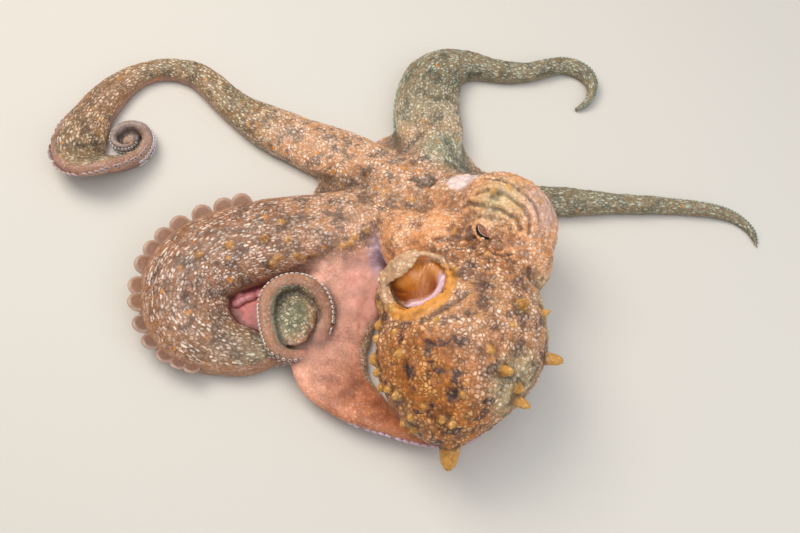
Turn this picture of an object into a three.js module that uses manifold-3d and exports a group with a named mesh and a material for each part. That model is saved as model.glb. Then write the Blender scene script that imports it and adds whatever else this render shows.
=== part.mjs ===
// Common octopus (Octopus vulgaris), life size, at rest on a flat floor. Millimetres, +Z up.
//
// The arms spread flat round the mouth, the head stands over them and the mantle leans back and to one side,
// its gaping left aperture uppermost. The model is laid out about a point of the floor near the middle of the
// spread (+X to the animal's right, +Y ahead of it); the group is then moved so that the origin is the centre of
// its bounding box, at floor level.
import * as THREE from 'three';
import { mergeVertices } from 'three/addons/utils/BufferGeometryUtils.js';
import Module from 'manifold-3d';

const wasm = await Module();
wasm.setup();

// ---- Driving dimensions, mm ----
const GAP = 0.3; // clear space between neighbouring pieces
const SIMPLIFY = 0.149; // short edges left by the cuts are taken out up to this error, less than half of GAP
const LENGTHS = ['base', 'middle', 'end']; // each arm is made in three lengths
const STEP = { length: 24, turn: 31 }; // longest step along an arm, in mm and in degrees

// Arm roots and web: a low dome whose rim runs out to `peak` along each arm.
const WEB_FILL = { centre: [-97, -41, 5], halfSizes: [36, 21, 5], sides: 12, rings: 4 }; // web inside the bend of left_2
const CROWN = { centre: [30, 46], height: 44, rim: 3, peak: 88, sides: 38, rings: 6 };

const HEAD = { centre: [84, 8, 62], across: 34, deep: 33, long: 42, sides: 16, rings: 9 };
const THROAT = { // to the crown
  centre: [58, 26, 40], halfSizes: [33, 30, 50], from: [30, 46, 26], across: [0.6, 0.8, 0], sides: 12, rings: 7,
};
const NECK = { centre: [86, -22, 50], halfSize: 31, sides: 12, rings: 7 }; // to the mantle
const NAPE = { centre: [34, -8, 52], halfSize: 28, sides: 10, rings: 6 }; // below the left eye, to the aperture
const LAP = { centre: [10, -2, 40], halfSize: 26, sides: 10, rings: 6 }; // the fold from the nape to the crown
const HEAD_ALONG = [0.66, -0.74, -0.11]; // from the mouth towards the mantle
const HEAD_ACROSS = [0.58, 0.6, -0.55]; // from the left eye towards the right eye, square to HEAD_ALONG

const EYE = { radius: 11.5, out: 28.5, forward: -2, up: 2, sides: 14, rings: 8 };
const EYE_BULGE = { radius: 17, out: 20, sides: 10, rings: 6 };

const MANTLE = { neck: [60, -20, 66], tip: [31, -168, 50], halfWidth: 63, halfHeight: 46, sides: 22, rings: 12 };
const MANTLE_FULLNESS = 0.12; // how far the widest place lies behind the middle
const MANTLE_SAG = 0.12; // how much broader it lies below its middle
const MANTLE_TAPER = { right: 0.55, left: 0.14, from: -0.5 }; // how much narrower each side is at the tip
const COLLAR = { centre: [14, -62, 66], halfSizes: [33, 30, 27], sides: 14, rings: 8 }; // lobe round the aperture

const APERTURE = {
  centre: [12, -62, 90], facing: [-0.3, -0.36, 0.88], across: [0.9, 0.3, 0.3],
  halfWidth: 24, halfLength: 21, depth: 17, sides: 16, rings: 8,
};
const APERTURE_LIP = { thickness: 4.5, sides: 6, round: 18 };
const FUNNEL = { halfWidth: 19, halfLength: 15, height: 12, below: 9.35, sides: 12, rings: 6 };

// Tall skin cones of the mantle: turn is in degrees round its long axis, along is 0 at the neck and 1 at the tip.
const PAPILLA_SIDES = 5;
const PAPILLAE = [
  { along: 0.31, turn: -22, length: 6, radius: 3.5 },
  { along: 0.34, turn: -54, length: 8, radius: 4.5 },
  { along: 0.5, turn: -4, length: 13, radius: 5 },
  { along: 0.66, turn: -56, length: 9, radius: 4 },
  { along: 0.74, turn: -20, length: 11, radius: 4.5 },
  { along: 0.7, turn: -32, length: 5, radius: 4 },
  { along: 0.99, turn: 60, length: 15, radius: 7.5 },
  { along: 0.85, turn: 118, length: 9, radius: 5 },
  { along: 0.65, turn: 178, length: 5, radius: 4.5 },
  { along: 0.4, turn: -166, length: 5, radius: 4.5 },
];

// The arms, in order round the mouth. start and heading place the root (degrees from +X, left-handed turns are
// positive); bends are arcs of [length, turn in degrees]; coil is a closing spiral of [first radius, turns];
// girth gives [distance from the root, half width, height]; roll turns the suckers outwards, in degrees, and
// lift raises the arm off the floor, both as [distance from the root, value]; side is the side that the suckers
// face, 1 for the left of the way out; web is how far the crown's rim lies from the mouth next to the arm's left;
// suckers are the big ones that stand out of its edge, and palm is the arm's back inside its coil.
const ARMS = {
  arm_left_1: {
    start: [-3, 80], heading: 158,
    bends: [[116, -7], [87, -21], [92, 98], [78, 44], [46, 104], [24, 30], [32, 88], [24, 90]],
    coil: { radius: 11, turns: 1.7, hand: 1 },
    girth: [[0, 18, 26], [60, 25, 28], [110, 22, 26], [180, 14, 20], [260, 10, 17], [330, 18, 18], [370, 23, 17],
      [405, 22, 16], [445, 11, 12], [485, 7.5, 9], [515, 6.5, 8]],
    tip: 0.9,
    roll: [[0, 0], [320, 0], [380, 20], [430, 60], [470, 85]],
    lift: [[0, 8], [80, 0]],
    side: -1, web: 112,
  },
  arm_left_2: {
    start: [22, 47], heading: 191,
    bends: [[112, 4], [60, 4], [78, 113], [34, 34], [34, 18], [16, 0], [36, 82], [32, 84], [36, 100], [28, 24],
      [26, 110], [16, 30]],
    girth: [[0, 20, 28], [60, 28, 36], [140, 37, 38], [200, 39, 34], [245, 34, 28], [290, 21, 22], [332, 8.5, 14],
      [400, 9, 14], [460, 8, 12], [500, 5, 8]],
    tip: 2.5,
    roll: [[0, 0], [300, 0], [340, 40], [372, 88]],
    lift: [[0, 4], [80, 0], [330, 0], [365, 8], [395, 21], [430, 25], [465, 21], [505, 10]],
    side: -1, web: 176,
    suckers: { from: 125, to: 300, first: 8.5, last: 5, depth: 15, sides: 5 },
    palm: { centre: [-81, -59, 27], halfSizes: [16, 23, 6.5], sides: 10, rings: 4 },
  },
  arm_left_3: {
    start: [-14, 26], heading: 226,
    bends: [[40, 22], [60, 8], [54, 62], [60, 22], [40, 40]],
    coil: { radius: 12, turns: 1.2, hand: 1 },
    girth: [[0, 18, 26], [50, 29, 17], [90, 33, 14], [130, 30, 14], [170, 19, 14], [210, 9, 12], [260, 5.5, 9]],
    tip: 0.9,
    roll: [[0, 0], [40, 12], [140, 14], [240, 60], [300, 80]],
    lift: [[0, 6], [60, 0]],
    side: -1, web: 66,
  },
  arm_left_4: {
    start: [24, 16], heading: 262,
    bends: [[60, 6], [40, 40]],
    coil: { radius: 15, turns: 1.5, hand: 1 },
    girth: [[0, 15, 22], [60, 12, 14], [100, 7, 10], [150, 5.5, 9]],
    tip: 0.9,
    roll: [[0, 0], [60, 0], [120, 75]],
    lift: [[0, 4], [60, 0]],
    side: -1, web: 62,
  },
  arm_right_4: {
    start: [54, 16], heading: 302,
    bends: [[60, 0], [40, -22]],
    coil: { radius: 13, turns: 1.5, hand: -1 },
    girth: [[0, 13, 22], [60, 12, 14], [100, 7, 10], [150, 5.5, 9]],
    tip: 0.9,
    roll: [[0, 0], [60, 0], [120, 75]],
    lift: [[0, 4], [60, 0]],
    side: 1, web: 64,
  },
  arm_right_3: {
    start: [72, 28], heading: 330,
    bends: [[34, -38], [46, -30], [46, -4], [30, -32]],
    coil: { radius: 14, turns: 1.5, hand: -1 },
    girth: [[0, 13, 22], [60, 12, 16], [120, 9, 13], [170, 6.5, 10]],
    tip: 0.9,
    roll: [[0, 0], [100, 0], [170, 75]],
    lift: [[0, 4], [60, 0]],
    side: 1, web: 62,
  },
  arm_right_2: {
    start: [72, 51], heading: 10,
    bends: [[76, -11], [71, -1], [55, -10], [44, -78]],
    girth: [[0, 17, 26], [60, 13.5, 20], [120, 8.5, 15], [180, 6.5, 11], [240, 3, 5]],
    tip: 0.9,
    roll: [[0, 0], [120, 10], [240, 30]],
    lift: [[0, 6], [60, 0]],
    side: 1, web: 66,
  },
  arm_right_1: {
    start: [31, 84], heading: 93,
    bends: [[42, 6], [50, -18], [66, -100], [66, 40], [24, -50], [56, -134]],
    girth: [[0, 22, 26], [50, 30, 28], [105, 28, 25], [160, 12, 19], [200, 9, 16], [250, 7.5, 11], [290, 4, 7]],
    tip: 2,
    roll: [[0, 0], [190, 0], [250, 40], [300, 70]],
    lift: [[0, 8], [70, 0]],
    side: 1, web: 98,
  },
};

// Half of an arm's section, for a half width and a height of 1: a flat sole and a rounded back.
const HALF_SECTION = [[0.78, 0], [1, 0.32], [0.8, 0.8], [0.28, 1]];

const COLOURS = {
  skin: '#b5763f', crown: '#c48a5c', greenArm: '#5c7f74', rose: '#e08a6c', streaked: '#a5835c', lip: '#cf8420',
  eye: '#7a5440',
};

// ---- Small helpers ----
const rad = THREE.MathUtils.degToRad;
const vec = (a) => new THREE.Vector3(...a);
const skinOf = (colour, roughness = 0.5) => new THREE.MeshStandardMaterial({ color: colour, roughness, metalness: 0 });

// The value at x on a smooth curve through rows of [x, value].
function along(rows, x, column = 1) {
  if (x <= rows[0][0]) return rows[0][column];
  for (let i = 1; i < rows.length; i++) {
    const [a, b] = [rows[i - 1], rows[i]];
    if (x <= b[0]) return THREE.MathUtils.lerp(a[column], b[column], THREE.MathUtils.smoothstep(x, a[0], b[0]));
  }
  return rows[rows.length - 1][column];
}

// A three.js geometry as a manifold-3d solid.
function solidOf(geometry) {
  const bare = geometry.clone();
  bare.deleteAttribute('normal');
  bare.deleteAttribute('uv');
  const merged = mergeVertices(bare, 1e-3);
  return new wasm.Manifold(new wasm.Mesh({
    numProp: 3,
    vertProperties: merged.attributes.position.array,
    triVerts: new Uint32Array(merged.index.array),
  }));
}

// The largest body of a manifold-3d solid, so that a cut leaves no crumbs.
function largest(solid) {
  return solid.decompose().sort((a, b) => b.volume() - a.volume())[0];
}

function geometryOf(solid) {
  const { vertProperties, triVerts, numProp, numVert } = solid.getMesh();
  const position = new Float32Array(numVert * 3);
  for (let i = 0; i < numVert; i++) position.set(vertProperties.subarray(i * numProp, i * numProp + 3), i * 3);
  const geometry = new THREE.BufferGeometry();
  geometry.setAttribute('position', new THREE.BufferAttribute(position, 3));
  geometry.setIndex(new THREE.BufferAttribute(triVerts, 1));
  geometry.computeVertexNormals();
  return geometry;
}

function piece(name, solid, material) {
  const mesh = new THREE.Mesh(geometryOf(largest(largest(solid).simplify(SIMPLIFY))), material);
  mesh.name = name;
  return mesh;
}

// Moves every vertex of a geometry by a function of its position.
function bend(geometry, move) {
  const position = geometry.attributes.position;
  const point = new THREE.Vector3();
  for (let i = 0; i < position.count; i++) {
    point.fromBufferAttribute(position, i);
    move(point);
    position.setXYZ(i, point.x, point.y, point.z);
  }
  return geometry;
}

// A right-handed frame whose z is `main` and whose x is as near `side` as it can be.
function frameOf(origin, side, main) {
  const z = vec(main).normalize();
  const x = vec(side).addScaledVector(z, -vec(side).dot(z)).normalize();
  return new THREE.Matrix4().makeBasis(x, new THREE.Vector3().crossVectors(z, x), z).setPosition(...origin);
}

// An ellipsoid with half sizes [x, y, z], in a frame.
function ellipsoid([x, y, z], frame, sides, rings) {
  return solidOf(new THREE.SphereGeometry(1, sides, rings).rotateX(Math.PI / 2).scale(x, y, z).applyMatrix4(frame));
}

function ball(radius, centre, sides, rings) {
  return ellipsoid(Array(3).fill(radius), new THREE.Matrix4().setPosition(centre), sides, rings);
}

// ---- Arms ----
// Places along an arm: the floor point, heading, distance, half width, height, roll and lift at each.
function stationsOf(arm) {
  const stations = [];
  const legs = [...arm.bends, ...(arm.coil ? spiralOf(arm.coil) : [])];
  const total = legs.reduce((sum, [length]) => sum + length, 0);
  const girth = [...arm.girth.filter(([at]) => at < total), [total, arm.tip, 2 * arm.tip]];
  let [x, y] = arm.start;
  let { heading } = arm;
  let distance = 0;
  const add = (most = Infinity) => stations.push({
    x, y, heading, distance,
    half: along(girth, distance), height: Math.min(most, along(girth, distance, 2)),
    roll: rad(along(arm.roll, distance)) * arm.side, lift: along(arm.lift, distance),
  });
  add();
  for (const [length, turn, thickest] of legs) {
    const steps = Math.max(1, Math.ceil(length / STEP.length), Math.ceil(Math.abs(turn) / STEP.turn));
    for (let i = 0; i < steps; i++) {
      const middle = rad(heading + turn / steps / 2);
      x += (length / steps) * Math.cos(middle);
      y += (length / steps) * Math.sin(middle);
      heading += turn / steps;
      distance += length / steps;
      add(thickest);
    }
  }
  return stations;
}

// A coil that closes in as the arm thins: every leg turns by the same angle on a shorter arc, and states how
// thick the arm may be there for its turns to stay clear of each other.
function spiralOf({ radius, turns, hand }) {
  const closing = 0.5; // share of the radius that is left after a whole turn
  const clear = 0.6; // thickness, as a share of the radius
  const count = Math.round((turns * 360) / STEP.turn);
  return Array.from({ length: count }, (_, i) => {
    const here = radius * closing ** ((i * STEP.turn) / 360);
    return [here * rad(STEP.turn), hand * STEP.turn, here * clear];
  });
}

function sectionShape() {
  const right = HALF_SECTION.map(([a, b]) => new THREE.Vector2(a, b));
  const left = HALF_SECTION.map(([a, b]) => new THREE.Vector2(-a, b)).reverse();
  return new THREE.Shape([...right, ...left]);
}

// How far the middle of a rolled section stands over its lowest point.
function restHeight({ half, height, roll }) {
  const [c, s] = [Math.cos(roll), Math.sin(roll)];
  return Math.max(...HALF_SECTION.flatMap(([a, b]) => [a, -a].map((u) => u * half * s - (b - 0.5) * height * c)));
}

// A point of an arm at a station: u across (1 at its right edge) and v up (0 at the sole, 1 at the back).
function armPoint(at, u, v, grow = 0) {
  const [c, s] = [Math.cos(at.roll), Math.sin(at.roll)];
  const wide = u * (at.half + grow);
  const high = (v - 0.5) * (at.height + 2 * grow);
  const across = wide * c + high * s;
  const up = at.lift + restHeight(at) - wide * s + high * c;
  const heading = rad(at.heading);
  return new THREE.Vector3(at.x + across * Math.sin(heading), at.y - across * Math.cos(heading), up);
}

// A straight extrusion of the section, bent along the stations and swollen by `grow` on every side.
function armSolid(stations, grow = 0) {
  const steps = stations.length - 1;
  const straight = new THREE.ExtrudeGeometry(sectionShape(), { depth: steps, steps, bevelEnabled: false });
  return solidOf(bend(straight, (point) => {
    point.copy(armPoint(stations[Math.round(point.z)], -point.x, point.y, grow));
  }));
}

// The big suckers that show along an arm's edge, as one solid with the arm.
function withSuckers(solid, stations, { suckers, side }, grow = 0) {
  if (!suckers) return solid;
  const { from, to, first, last, depth, sides } = suckers;
  let whole = solid;
  let next = from;
  for (const [i, at] of stations.entries()) {
    const following = stations[i + 1];
    while (following && next < to && next >= at.distance && next < following.distance) {
      const share = (next - at.distance) / (following.distance - at.distance);
      const radius = THREE.MathUtils.mapLinear(next, from, to, first, last);
      const edge = armPoint(at, -side, 0.3).lerp(armPoint(following, -side, 0.3), share);
      const inner = armPoint(at, 0, 0.3).lerp(armPoint(following, 0, 0.3), share);
      const out = edge.clone().sub(inner).normalize();
      const cup = new THREE.CylinderGeometry(radius + grow, radius * 0.6 + grow, depth + 2 * grow, sides);
      const place = frameOf(edge.toArray(), [0, 0, 1], out.toArray());
      whole = whole.add(solidOf(cup.rotateX(Math.PI / 2).applyMatrix4(place)));
      next += radius * 1.9;
    }
    if (!following) break;
  }
  return whole;
}

// The hollow back of a coil, which fills it inside, as one solid with the arm's end.
function withPalm(solid, { palm }, length, grow = 0) {
  if (!palm || length !== 'end') return solid;
  const { centre, halfSizes, sides, rings } = palm;
  const place = new THREE.Matrix4().setPosition(...centre);
  return solid.add(ellipsoid(halfSizes.map((size) => size + grow), place, sides, rings));
}

// The stations of one length of an arm, its first one moved on by the gap.
function lengthOf(stations, from, to) {
  const [first, ...rest] = stations.slice(from, to + 1);
  const heading = rad(first.heading);
  const moved = from === 0 ? first : {
    ...first, x: first.x + GAP * Math.cos(heading), y: first.y + GAP * Math.sin(heading),
  };
  return [moved, ...rest];
}

// ---- Body ----
// The angles, round the mouth, at which the arms leave it, each with the reach of the web on its left.
function armAngles() {
  const [cx, cy] = CROWN.centre;
  return Object.values(ARMS).map((arm) => {
    const leaving = stationsOf(arm).find(({ x, y }) => Math.hypot(x - cx, y - cy) > CROWN.peak * 0.85);
    return { angle: Math.atan2(leaving.y - cy, leaving.x - cx), web: arm.web };
  }).sort((a, b) => a.angle - b.angle);
}

// The web and arm roots: high over the arms, and a thin web between them.
function crownSolid(grow = 0) {
  const { centre, height, rim, peak, sides, rings } = CROWN;
  const arms = armAngles();
  const dome = new THREE.SphereGeometry(1, sides, rings * 2).rotateX(Math.PI / 2);
  const fill = new THREE.Matrix4().setPosition(...WEB_FILL.centre);
  const filled = ellipsoid(WEB_FILL.halfSizes.map((size) => size + grow), fill, WEB_FILL.sides, WEB_FILL.rings);
  return filled.add(solidOf(bend(dome, (point) => {
    const angle = Math.atan2(point.y, point.x);
    const next = Math.max(0, arms.findIndex((arm) => arm.angle > angle));
    const [low, high] = [arms.at(next - 1), arms.at(next)];
    const span = (high.angle - low.angle + 2 * Math.PI) % (2 * Math.PI);
    const place = ((angle - low.angle + 2 * Math.PI) % (2 * Math.PI)) / span;
    const between = Math.sin(Math.PI * place) ** 2; // 0 over an arm and 1 half-way to the next
    const reach = THREE.MathUtils.lerp(peak, low.web, between);
    const radius = Math.hypot(point.x, point.y);
    const full = Math.sqrt(Math.max(0, 1 - radius ** 3));
    const thin = Math.max(0, 1 - radius ** 1.5) ** 1.2;
    const up = THREE.MathUtils.lerp(full, thin, between * THREE.MathUtils.smoothstep(radius, 0.2, 0.7));
    point.set(
      centre[0] + radius * (reach + grow) * Math.cos(angle),
      centre[1] + radius * (reach + grow) * Math.sin(angle),
      point.z > 1e-6 ? rim + up * (height - rim) + grow : 0,
    );
  })));
}

const headFrame = frameOf(HEAD.centre, HEAD_ACROSS, HEAD_ALONG);

function eyeCentre(side, out = EYE.out) {
  return new THREE.Vector3(side * out, -EYE.up, EYE.forward).applyMatrix4(headFrame);
}

function headSolid(grow = 0) {
  const { across, deep, long, sides, rings } = HEAD;
  const skull = ellipsoid([across + grow, deep + grow, long + grow], headFrame, sides, rings);
  const toCrown = vec(THROAT.from).sub(vec(THROAT.centre)).toArray();
  const throatFrame = frameOf(THROAT.centre, THROAT.across, toCrown);
  const throat = ellipsoid(THROAT.halfSizes.map((size) => size + grow), throatFrame, THROAT.sides, THROAT.rings);
  const neck = ball(NECK.halfSize + grow, vec(NECK.centre), NECK.sides, NECK.rings);
  const nape = ball(NAPE.halfSize + grow, vec(NAPE.centre), NAPE.sides, NAPE.rings);
  const lap = ball(LAP.halfSize + grow, vec(LAP.centre), LAP.sides, LAP.rings);
  return [-1, 1].reduce((whole, side) => (
    whole.add(ball(EYE_BULGE.radius + grow, eyeCentre(side, EYE_BULGE.out), EYE_BULGE.sides, EYE_BULGE.rings))
  ), skull.add(throat).add(neck).add(nape).add(lap));
}

function eyeSolid(side, grow = 0) {
  return ball(EYE.radius + grow, eyeCentre(side), EYE.sides, EYE.rings);
}

const mantleAxis = vec(MANTLE.tip).sub(vec(MANTLE.neck));
const mantleMiddle = vec(MANTLE.neck).addScaledVector(mantleAxis, 0.5);
const mantleFrame = frameOf(mantleMiddle.toArray(), [1, 0, 0], mantleAxis.toArray());

// Moves a unit sphere's point to the mantle's surface, which is fuller towards the tip.
function mantlePoint(point, grow) {
  const swell = 1 + MANTLE_FULLNESS * point.z * (1 - point.z * point.z);
  const sag = 1 + MANTLE_SAG * Math.max(0, -point.y);
  const near = Math.max(0, (point.z - MANTLE_TAPER.from) / (1 - MANTLE_TAPER.from)) ** 2;
  const narrow = 1 - (point.x > 0 ? MANTLE_TAPER.right : MANTLE_TAPER.left) * near;
  point.set(
    point.x * (MANTLE.halfWidth + grow) * swell * sag * narrow,
    point.y * (MANTLE.halfHeight + grow) * swell,
    point.z * (mantleAxis.length() / 2 + grow),
  );
}

// The mantle's bag with the lobe round its aperture.
function mantleBag(grow = 0) {
  const sphere = new THREE.SphereGeometry(1, MANTLE.sides, MANTLE.rings).rotateX(Math.PI / 2);
  const bag = solidOf(bend(sphere, (point) => mantlePoint(point, grow)).applyMatrix4(mantleFrame));
  const lobe = new THREE.Matrix4().setPosition(...COLLAR.centre);
  return bag.add(ellipsoid(COLLAR.halfSizes.map((size) => size + grow), lobe, COLLAR.sides, COLLAR.rings));
}

const apertureFrame = frameOf(APERTURE.centre, APERTURE.across, APERTURE.facing);

function apertureBowl(grow = 0) {
  const { halfWidth, halfLength, depth, sides, rings } = APERTURE;
  return ellipsoid([halfWidth + grow, halfLength + grow, depth + grow], apertureFrame, sides, rings);
}

function apertureLip(grow = 0) {
  const { thickness, sides, round } = APERTURE_LIP;
  const ring = new THREE.TorusGeometry(1, (thickness + grow) / APERTURE.halfLength, sides, round);
  return solidOf(ring.scale(APERTURE.halfWidth, APERTURE.halfLength, APERTURE.halfLength).applyMatrix4(apertureFrame));
}

// A cone that stands on the mantle's surface.
function papillaSolid({ along: place, turn, length, radius }, grow = 0) {
  const angle = Math.acos(1 - 2 * place);
  const turned = rad(turn);
  const foot = new THREE.Vector3(
    Math.sin(angle) * Math.cos(turned), -Math.sin(angle) * Math.sin(turned), -Math.cos(angle));
  const out = foot.clone().divide(new THREE.Vector3(MANTLE.halfWidth, MANTLE.halfHeight, mantleAxis.length() / 2));
  mantlePoint(foot, 0);
  foot.applyMatrix4(mantleFrame);
  out.transformDirection(mantleFrame);
  const cone = new THREE.CylinderGeometry(
    radius * 0.4 + grow, radius * 1.25 + grow, length + radius + 2 * grow, PAPILLA_SIDES);
  cone.rotateX(Math.PI / 2).translate(0, 0, (length - radius) / 2);
  const across = Math.abs(out.x) < 0.9 ? [1, 0, 0] : [0, 1, 0];
  return solidOf(cone.applyMatrix4(frameOf(foot.toArray(), across, out.toArray())));
}

// All that stands out of the mantle, with its aperture still shut.
function mantleOutside(grow = 0) {
  const spiky = PAPILLAE.reduce((whole, one) => whole.add(papillaSolid(one, grow)), mantleBag(grow));
  return spiky.add(apertureLip(grow));
}

// The folded funnel wall that shows inside the aperture.
function funnelSolid() {
  const { halfWidth, halfLength, height, below, sides, rings } = FUNNEL;
  const low = apertureFrame.clone().multiply(new THREE.Matrix4().setPosition(0, 0, -below));
  const pillow = ellipsoid([halfWidth, halfLength, height], low, sides, rings);
  return pillow.intersect(apertureBowl(-GAP)).subtract(headSolid(GAP));
}

// ---- Assembly ----
const octopus = new THREE.Group();
octopus.name = 'common_octopus';

const sockets = [-1, 1].map((side) => eyeSolid(side, GAP));
octopus.add(piece('eye_left', eyeSolid(-1), skinOf(COLOURS.eye, 0.15)));
octopus.add(piece('eye_right', eyeSolid(1), skinOf(COLOURS.eye, 0.15)));
octopus.add(piece('head', sockets.reduce((head, socket) => head.subtract(socket), headSolid()), skinOf(COLOURS.crown)));
const mantle = mantleOutside().subtract(apertureBowl()).subtract(headSolid(GAP));
octopus.add(piece('mantle', mantle, skinOf(COLOURS.skin)));
octopus.add(piece('funnel', funnelSolid(), skinOf(COLOURS.lip, 0.35)));

const body = mantleOutside(GAP).add(headSolid(GAP));
octopus.add(piece('crown', crownSolid().subtract(body), skinOf(COLOURS.crown)));

// Each length of an arm is cut clear of the body and of the lengths before it.
const armColour = (name) => {
  if (name === 'arm_left_3') return COLOURS.rose;
  return name.startsWith('arm_right') ? COLOURS.greenArm : COLOURS.streaked;
};
let taken = body.add(crownSolid(GAP));
for (const [name, arm] of Object.entries(ARMS)) {
  const stations = stationsOf(arm);
  const ends = [0, 1 / 3, 2 / 3, 1].map((share) => Math.round(share * (stations.length - 1)));
  LENGTHS.forEach((length, i) => {
    const part = lengthOf(stations, ends[i], ends[i + 1]);
    const solid = withPalm(withSuckers(armSolid(part), part, arm), arm, length).subtract(taken);
    octopus.add(piece(`${name}_${length}`, solid, skinOf(armColour(name))));
    taken = taken.add(withPalm(withSuckers(armSolid(part, GAP), part, arm, GAP), arm, length, GAP));
  });
}

const box = new THREE.Box3().setFromObject(octopus);
const middle = box.getCenter(new THREE.Vector3());
octopus.position.set(-middle.x, -middle.y, -box.min.z);

export default octopus;
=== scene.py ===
"""Skin, eyes, suckers and gill opening of a life-size common octopus at rest on a pale floor.

The animal is laid out in millimetres, as its solids are: +X to its right, +Y ahead of it and +Z up, about a
point of the floor near the middle of its spread. `Layout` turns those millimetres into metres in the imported
frame.
"""
import logging
import math
from dataclasses import dataclass, field
from enum import Enum

import bmesh
import bpy
import numpy as np
from mathutils import Matrix, Vector, noise


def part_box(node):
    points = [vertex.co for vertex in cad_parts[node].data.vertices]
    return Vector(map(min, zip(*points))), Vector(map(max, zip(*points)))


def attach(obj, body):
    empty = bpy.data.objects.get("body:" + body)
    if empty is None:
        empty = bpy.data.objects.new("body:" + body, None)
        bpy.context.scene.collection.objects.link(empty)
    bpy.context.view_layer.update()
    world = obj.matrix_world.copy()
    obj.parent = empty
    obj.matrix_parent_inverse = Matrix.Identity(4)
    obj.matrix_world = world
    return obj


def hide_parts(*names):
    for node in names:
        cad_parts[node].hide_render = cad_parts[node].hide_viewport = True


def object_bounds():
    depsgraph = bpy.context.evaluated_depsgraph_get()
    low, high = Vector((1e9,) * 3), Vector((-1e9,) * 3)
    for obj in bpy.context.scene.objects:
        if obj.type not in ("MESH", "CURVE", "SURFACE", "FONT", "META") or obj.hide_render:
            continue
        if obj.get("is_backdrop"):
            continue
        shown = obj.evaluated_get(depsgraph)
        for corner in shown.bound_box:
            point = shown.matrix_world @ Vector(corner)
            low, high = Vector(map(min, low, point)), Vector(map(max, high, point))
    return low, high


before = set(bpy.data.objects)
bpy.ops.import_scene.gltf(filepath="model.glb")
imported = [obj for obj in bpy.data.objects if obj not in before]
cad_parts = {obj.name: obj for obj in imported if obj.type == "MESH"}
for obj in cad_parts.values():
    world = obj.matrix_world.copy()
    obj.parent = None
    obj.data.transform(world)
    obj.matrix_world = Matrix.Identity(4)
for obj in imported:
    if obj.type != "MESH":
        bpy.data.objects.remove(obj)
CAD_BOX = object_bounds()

LOG = logging.getLogger("octopus")
BODY = "root"
MM = 0.001
Point = tuple[float, float, float]
Rows = tuple[tuple[float, ...], ...]


# ---------------------------------------------------------------- small helpers
def to_linear(colour: str) -> tuple[float, float, float]:
    """Turn an sRGB hex colour into scene-linear red, green and blue.

    Args:
        colour: a colour such as "#b5763f".

    Returns:
        The three linear values, from 0 to 1.
    """
    parts = [int(colour[i:i + 2], 16) / 255 for i in (1, 3, 5)]
    return tuple(c / 12.92 if c <= 0.04045 else ((c + 0.055) / 1.055) ** 2.4 for c in parts)


def ramp(value: np.ndarray, low: float, high: float) -> np.ndarray:
    """Rise smoothly from 0 at `low` to 1 at `high`.

    Args:
        value: the values to turn.
        low: where the rise starts.
        high: where it ends; it may lie below `low`.

    Returns:
        An array of the same shape, from 0 to 1.
    """
    share = np.clip((value - low) / (high - low), 0, 1)
    return share * share * (3 - 2 * share)


def along(rows: Rows, place: float, column: int = 1) -> float:
    """Read a smooth curve through rows of (place, value, ...).

    Args:
        rows: the rows, in order of place.
        place: where to read.
        column: which value to read.

    Returns:
        The value there, held at both ends.
    """
    if place <= rows[0][0]:
        return rows[0][column]
    for low, high in zip(rows, rows[1:]):
        if place <= high[0]:
            share = (place - low[0]) / (high[0] - low[0])
            share = share * share * (3 - 2 * share)
            return low[column] + share * (high[column] - low[column])
    return rows[-1][column]


def frame_of(origin: Point, side: Point, main: Point) -> Matrix:
    """Make a right-handed frame whose z is `main` and whose x is as near `side` as it can be.

    Args:
        origin: the frame's origin.
        side: the direction that x leans to.
        main: the direction of z.

    Returns:
        The frame as a 4x4 matrix.
    """
    z = Vector(main).normalized()
    x = (Vector(side) - z * Vector(side).dot(z)).normalized()
    y = z.cross(x)
    return Matrix.Translation(origin) @ Matrix((x, y, z)).transposed().to_4x4()


def seen_from(place: Matrix, points: np.ndarray) -> np.ndarray:
    """Turn points into a frame's own coordinates.

    Args:
        place: the frame.
        points: the points, one a row.

    Returns:
        The points as the frame has them.
    """
    inverse = np.array(place.inverted())
    return points @ inverse[:3, :3].T + inverse[:3, 3]


def sized(half_sizes: Point) -> Matrix:
    """Return the matrix that scales a unit shape to these half sizes."""
    return Matrix.Diagonal((*half_sizes, 1.0))


def join(mesh: bmesh.types.BMesh, part: bmesh.types.BMesh) -> list[bmesh.types.BMVert]:
    """Put a part into a mesh and free the part.

    Args:
        mesh: the mesh that gets it.
        part: the part.

    Returns:
        The part's vertices in the mesh.
    """
    data = bpy.data.meshes.new("part")
    part.to_mesh(data)
    part.free()
    before = len(mesh.verts)
    mesh.from_mesh(data)
    bpy.data.meshes.remove(data)
    mesh.verts.ensure_lookup_table()
    return mesh.verts[before:]


def add_ball(mesh: bmesh.types.BMesh, place: Matrix, sides: int = 32,
             rings: int = 20) -> list[bmesh.types.BMVert]:
    """Add a unit ball, seen through a matrix, to a mesh.

    Args:
        mesh: the mesh that gets it.
        place: the matrix.
        sides: points round the ball.
        rings: rows of faces from pole to pole.

    Returns:
        The ball's vertices.
    """
    ball = bmesh.new()
    bmesh.ops.create_uvsphere(ball, u_segments=sides, v_segments=rings, radius=1.0, matrix=place)
    return join(mesh, ball)


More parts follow.
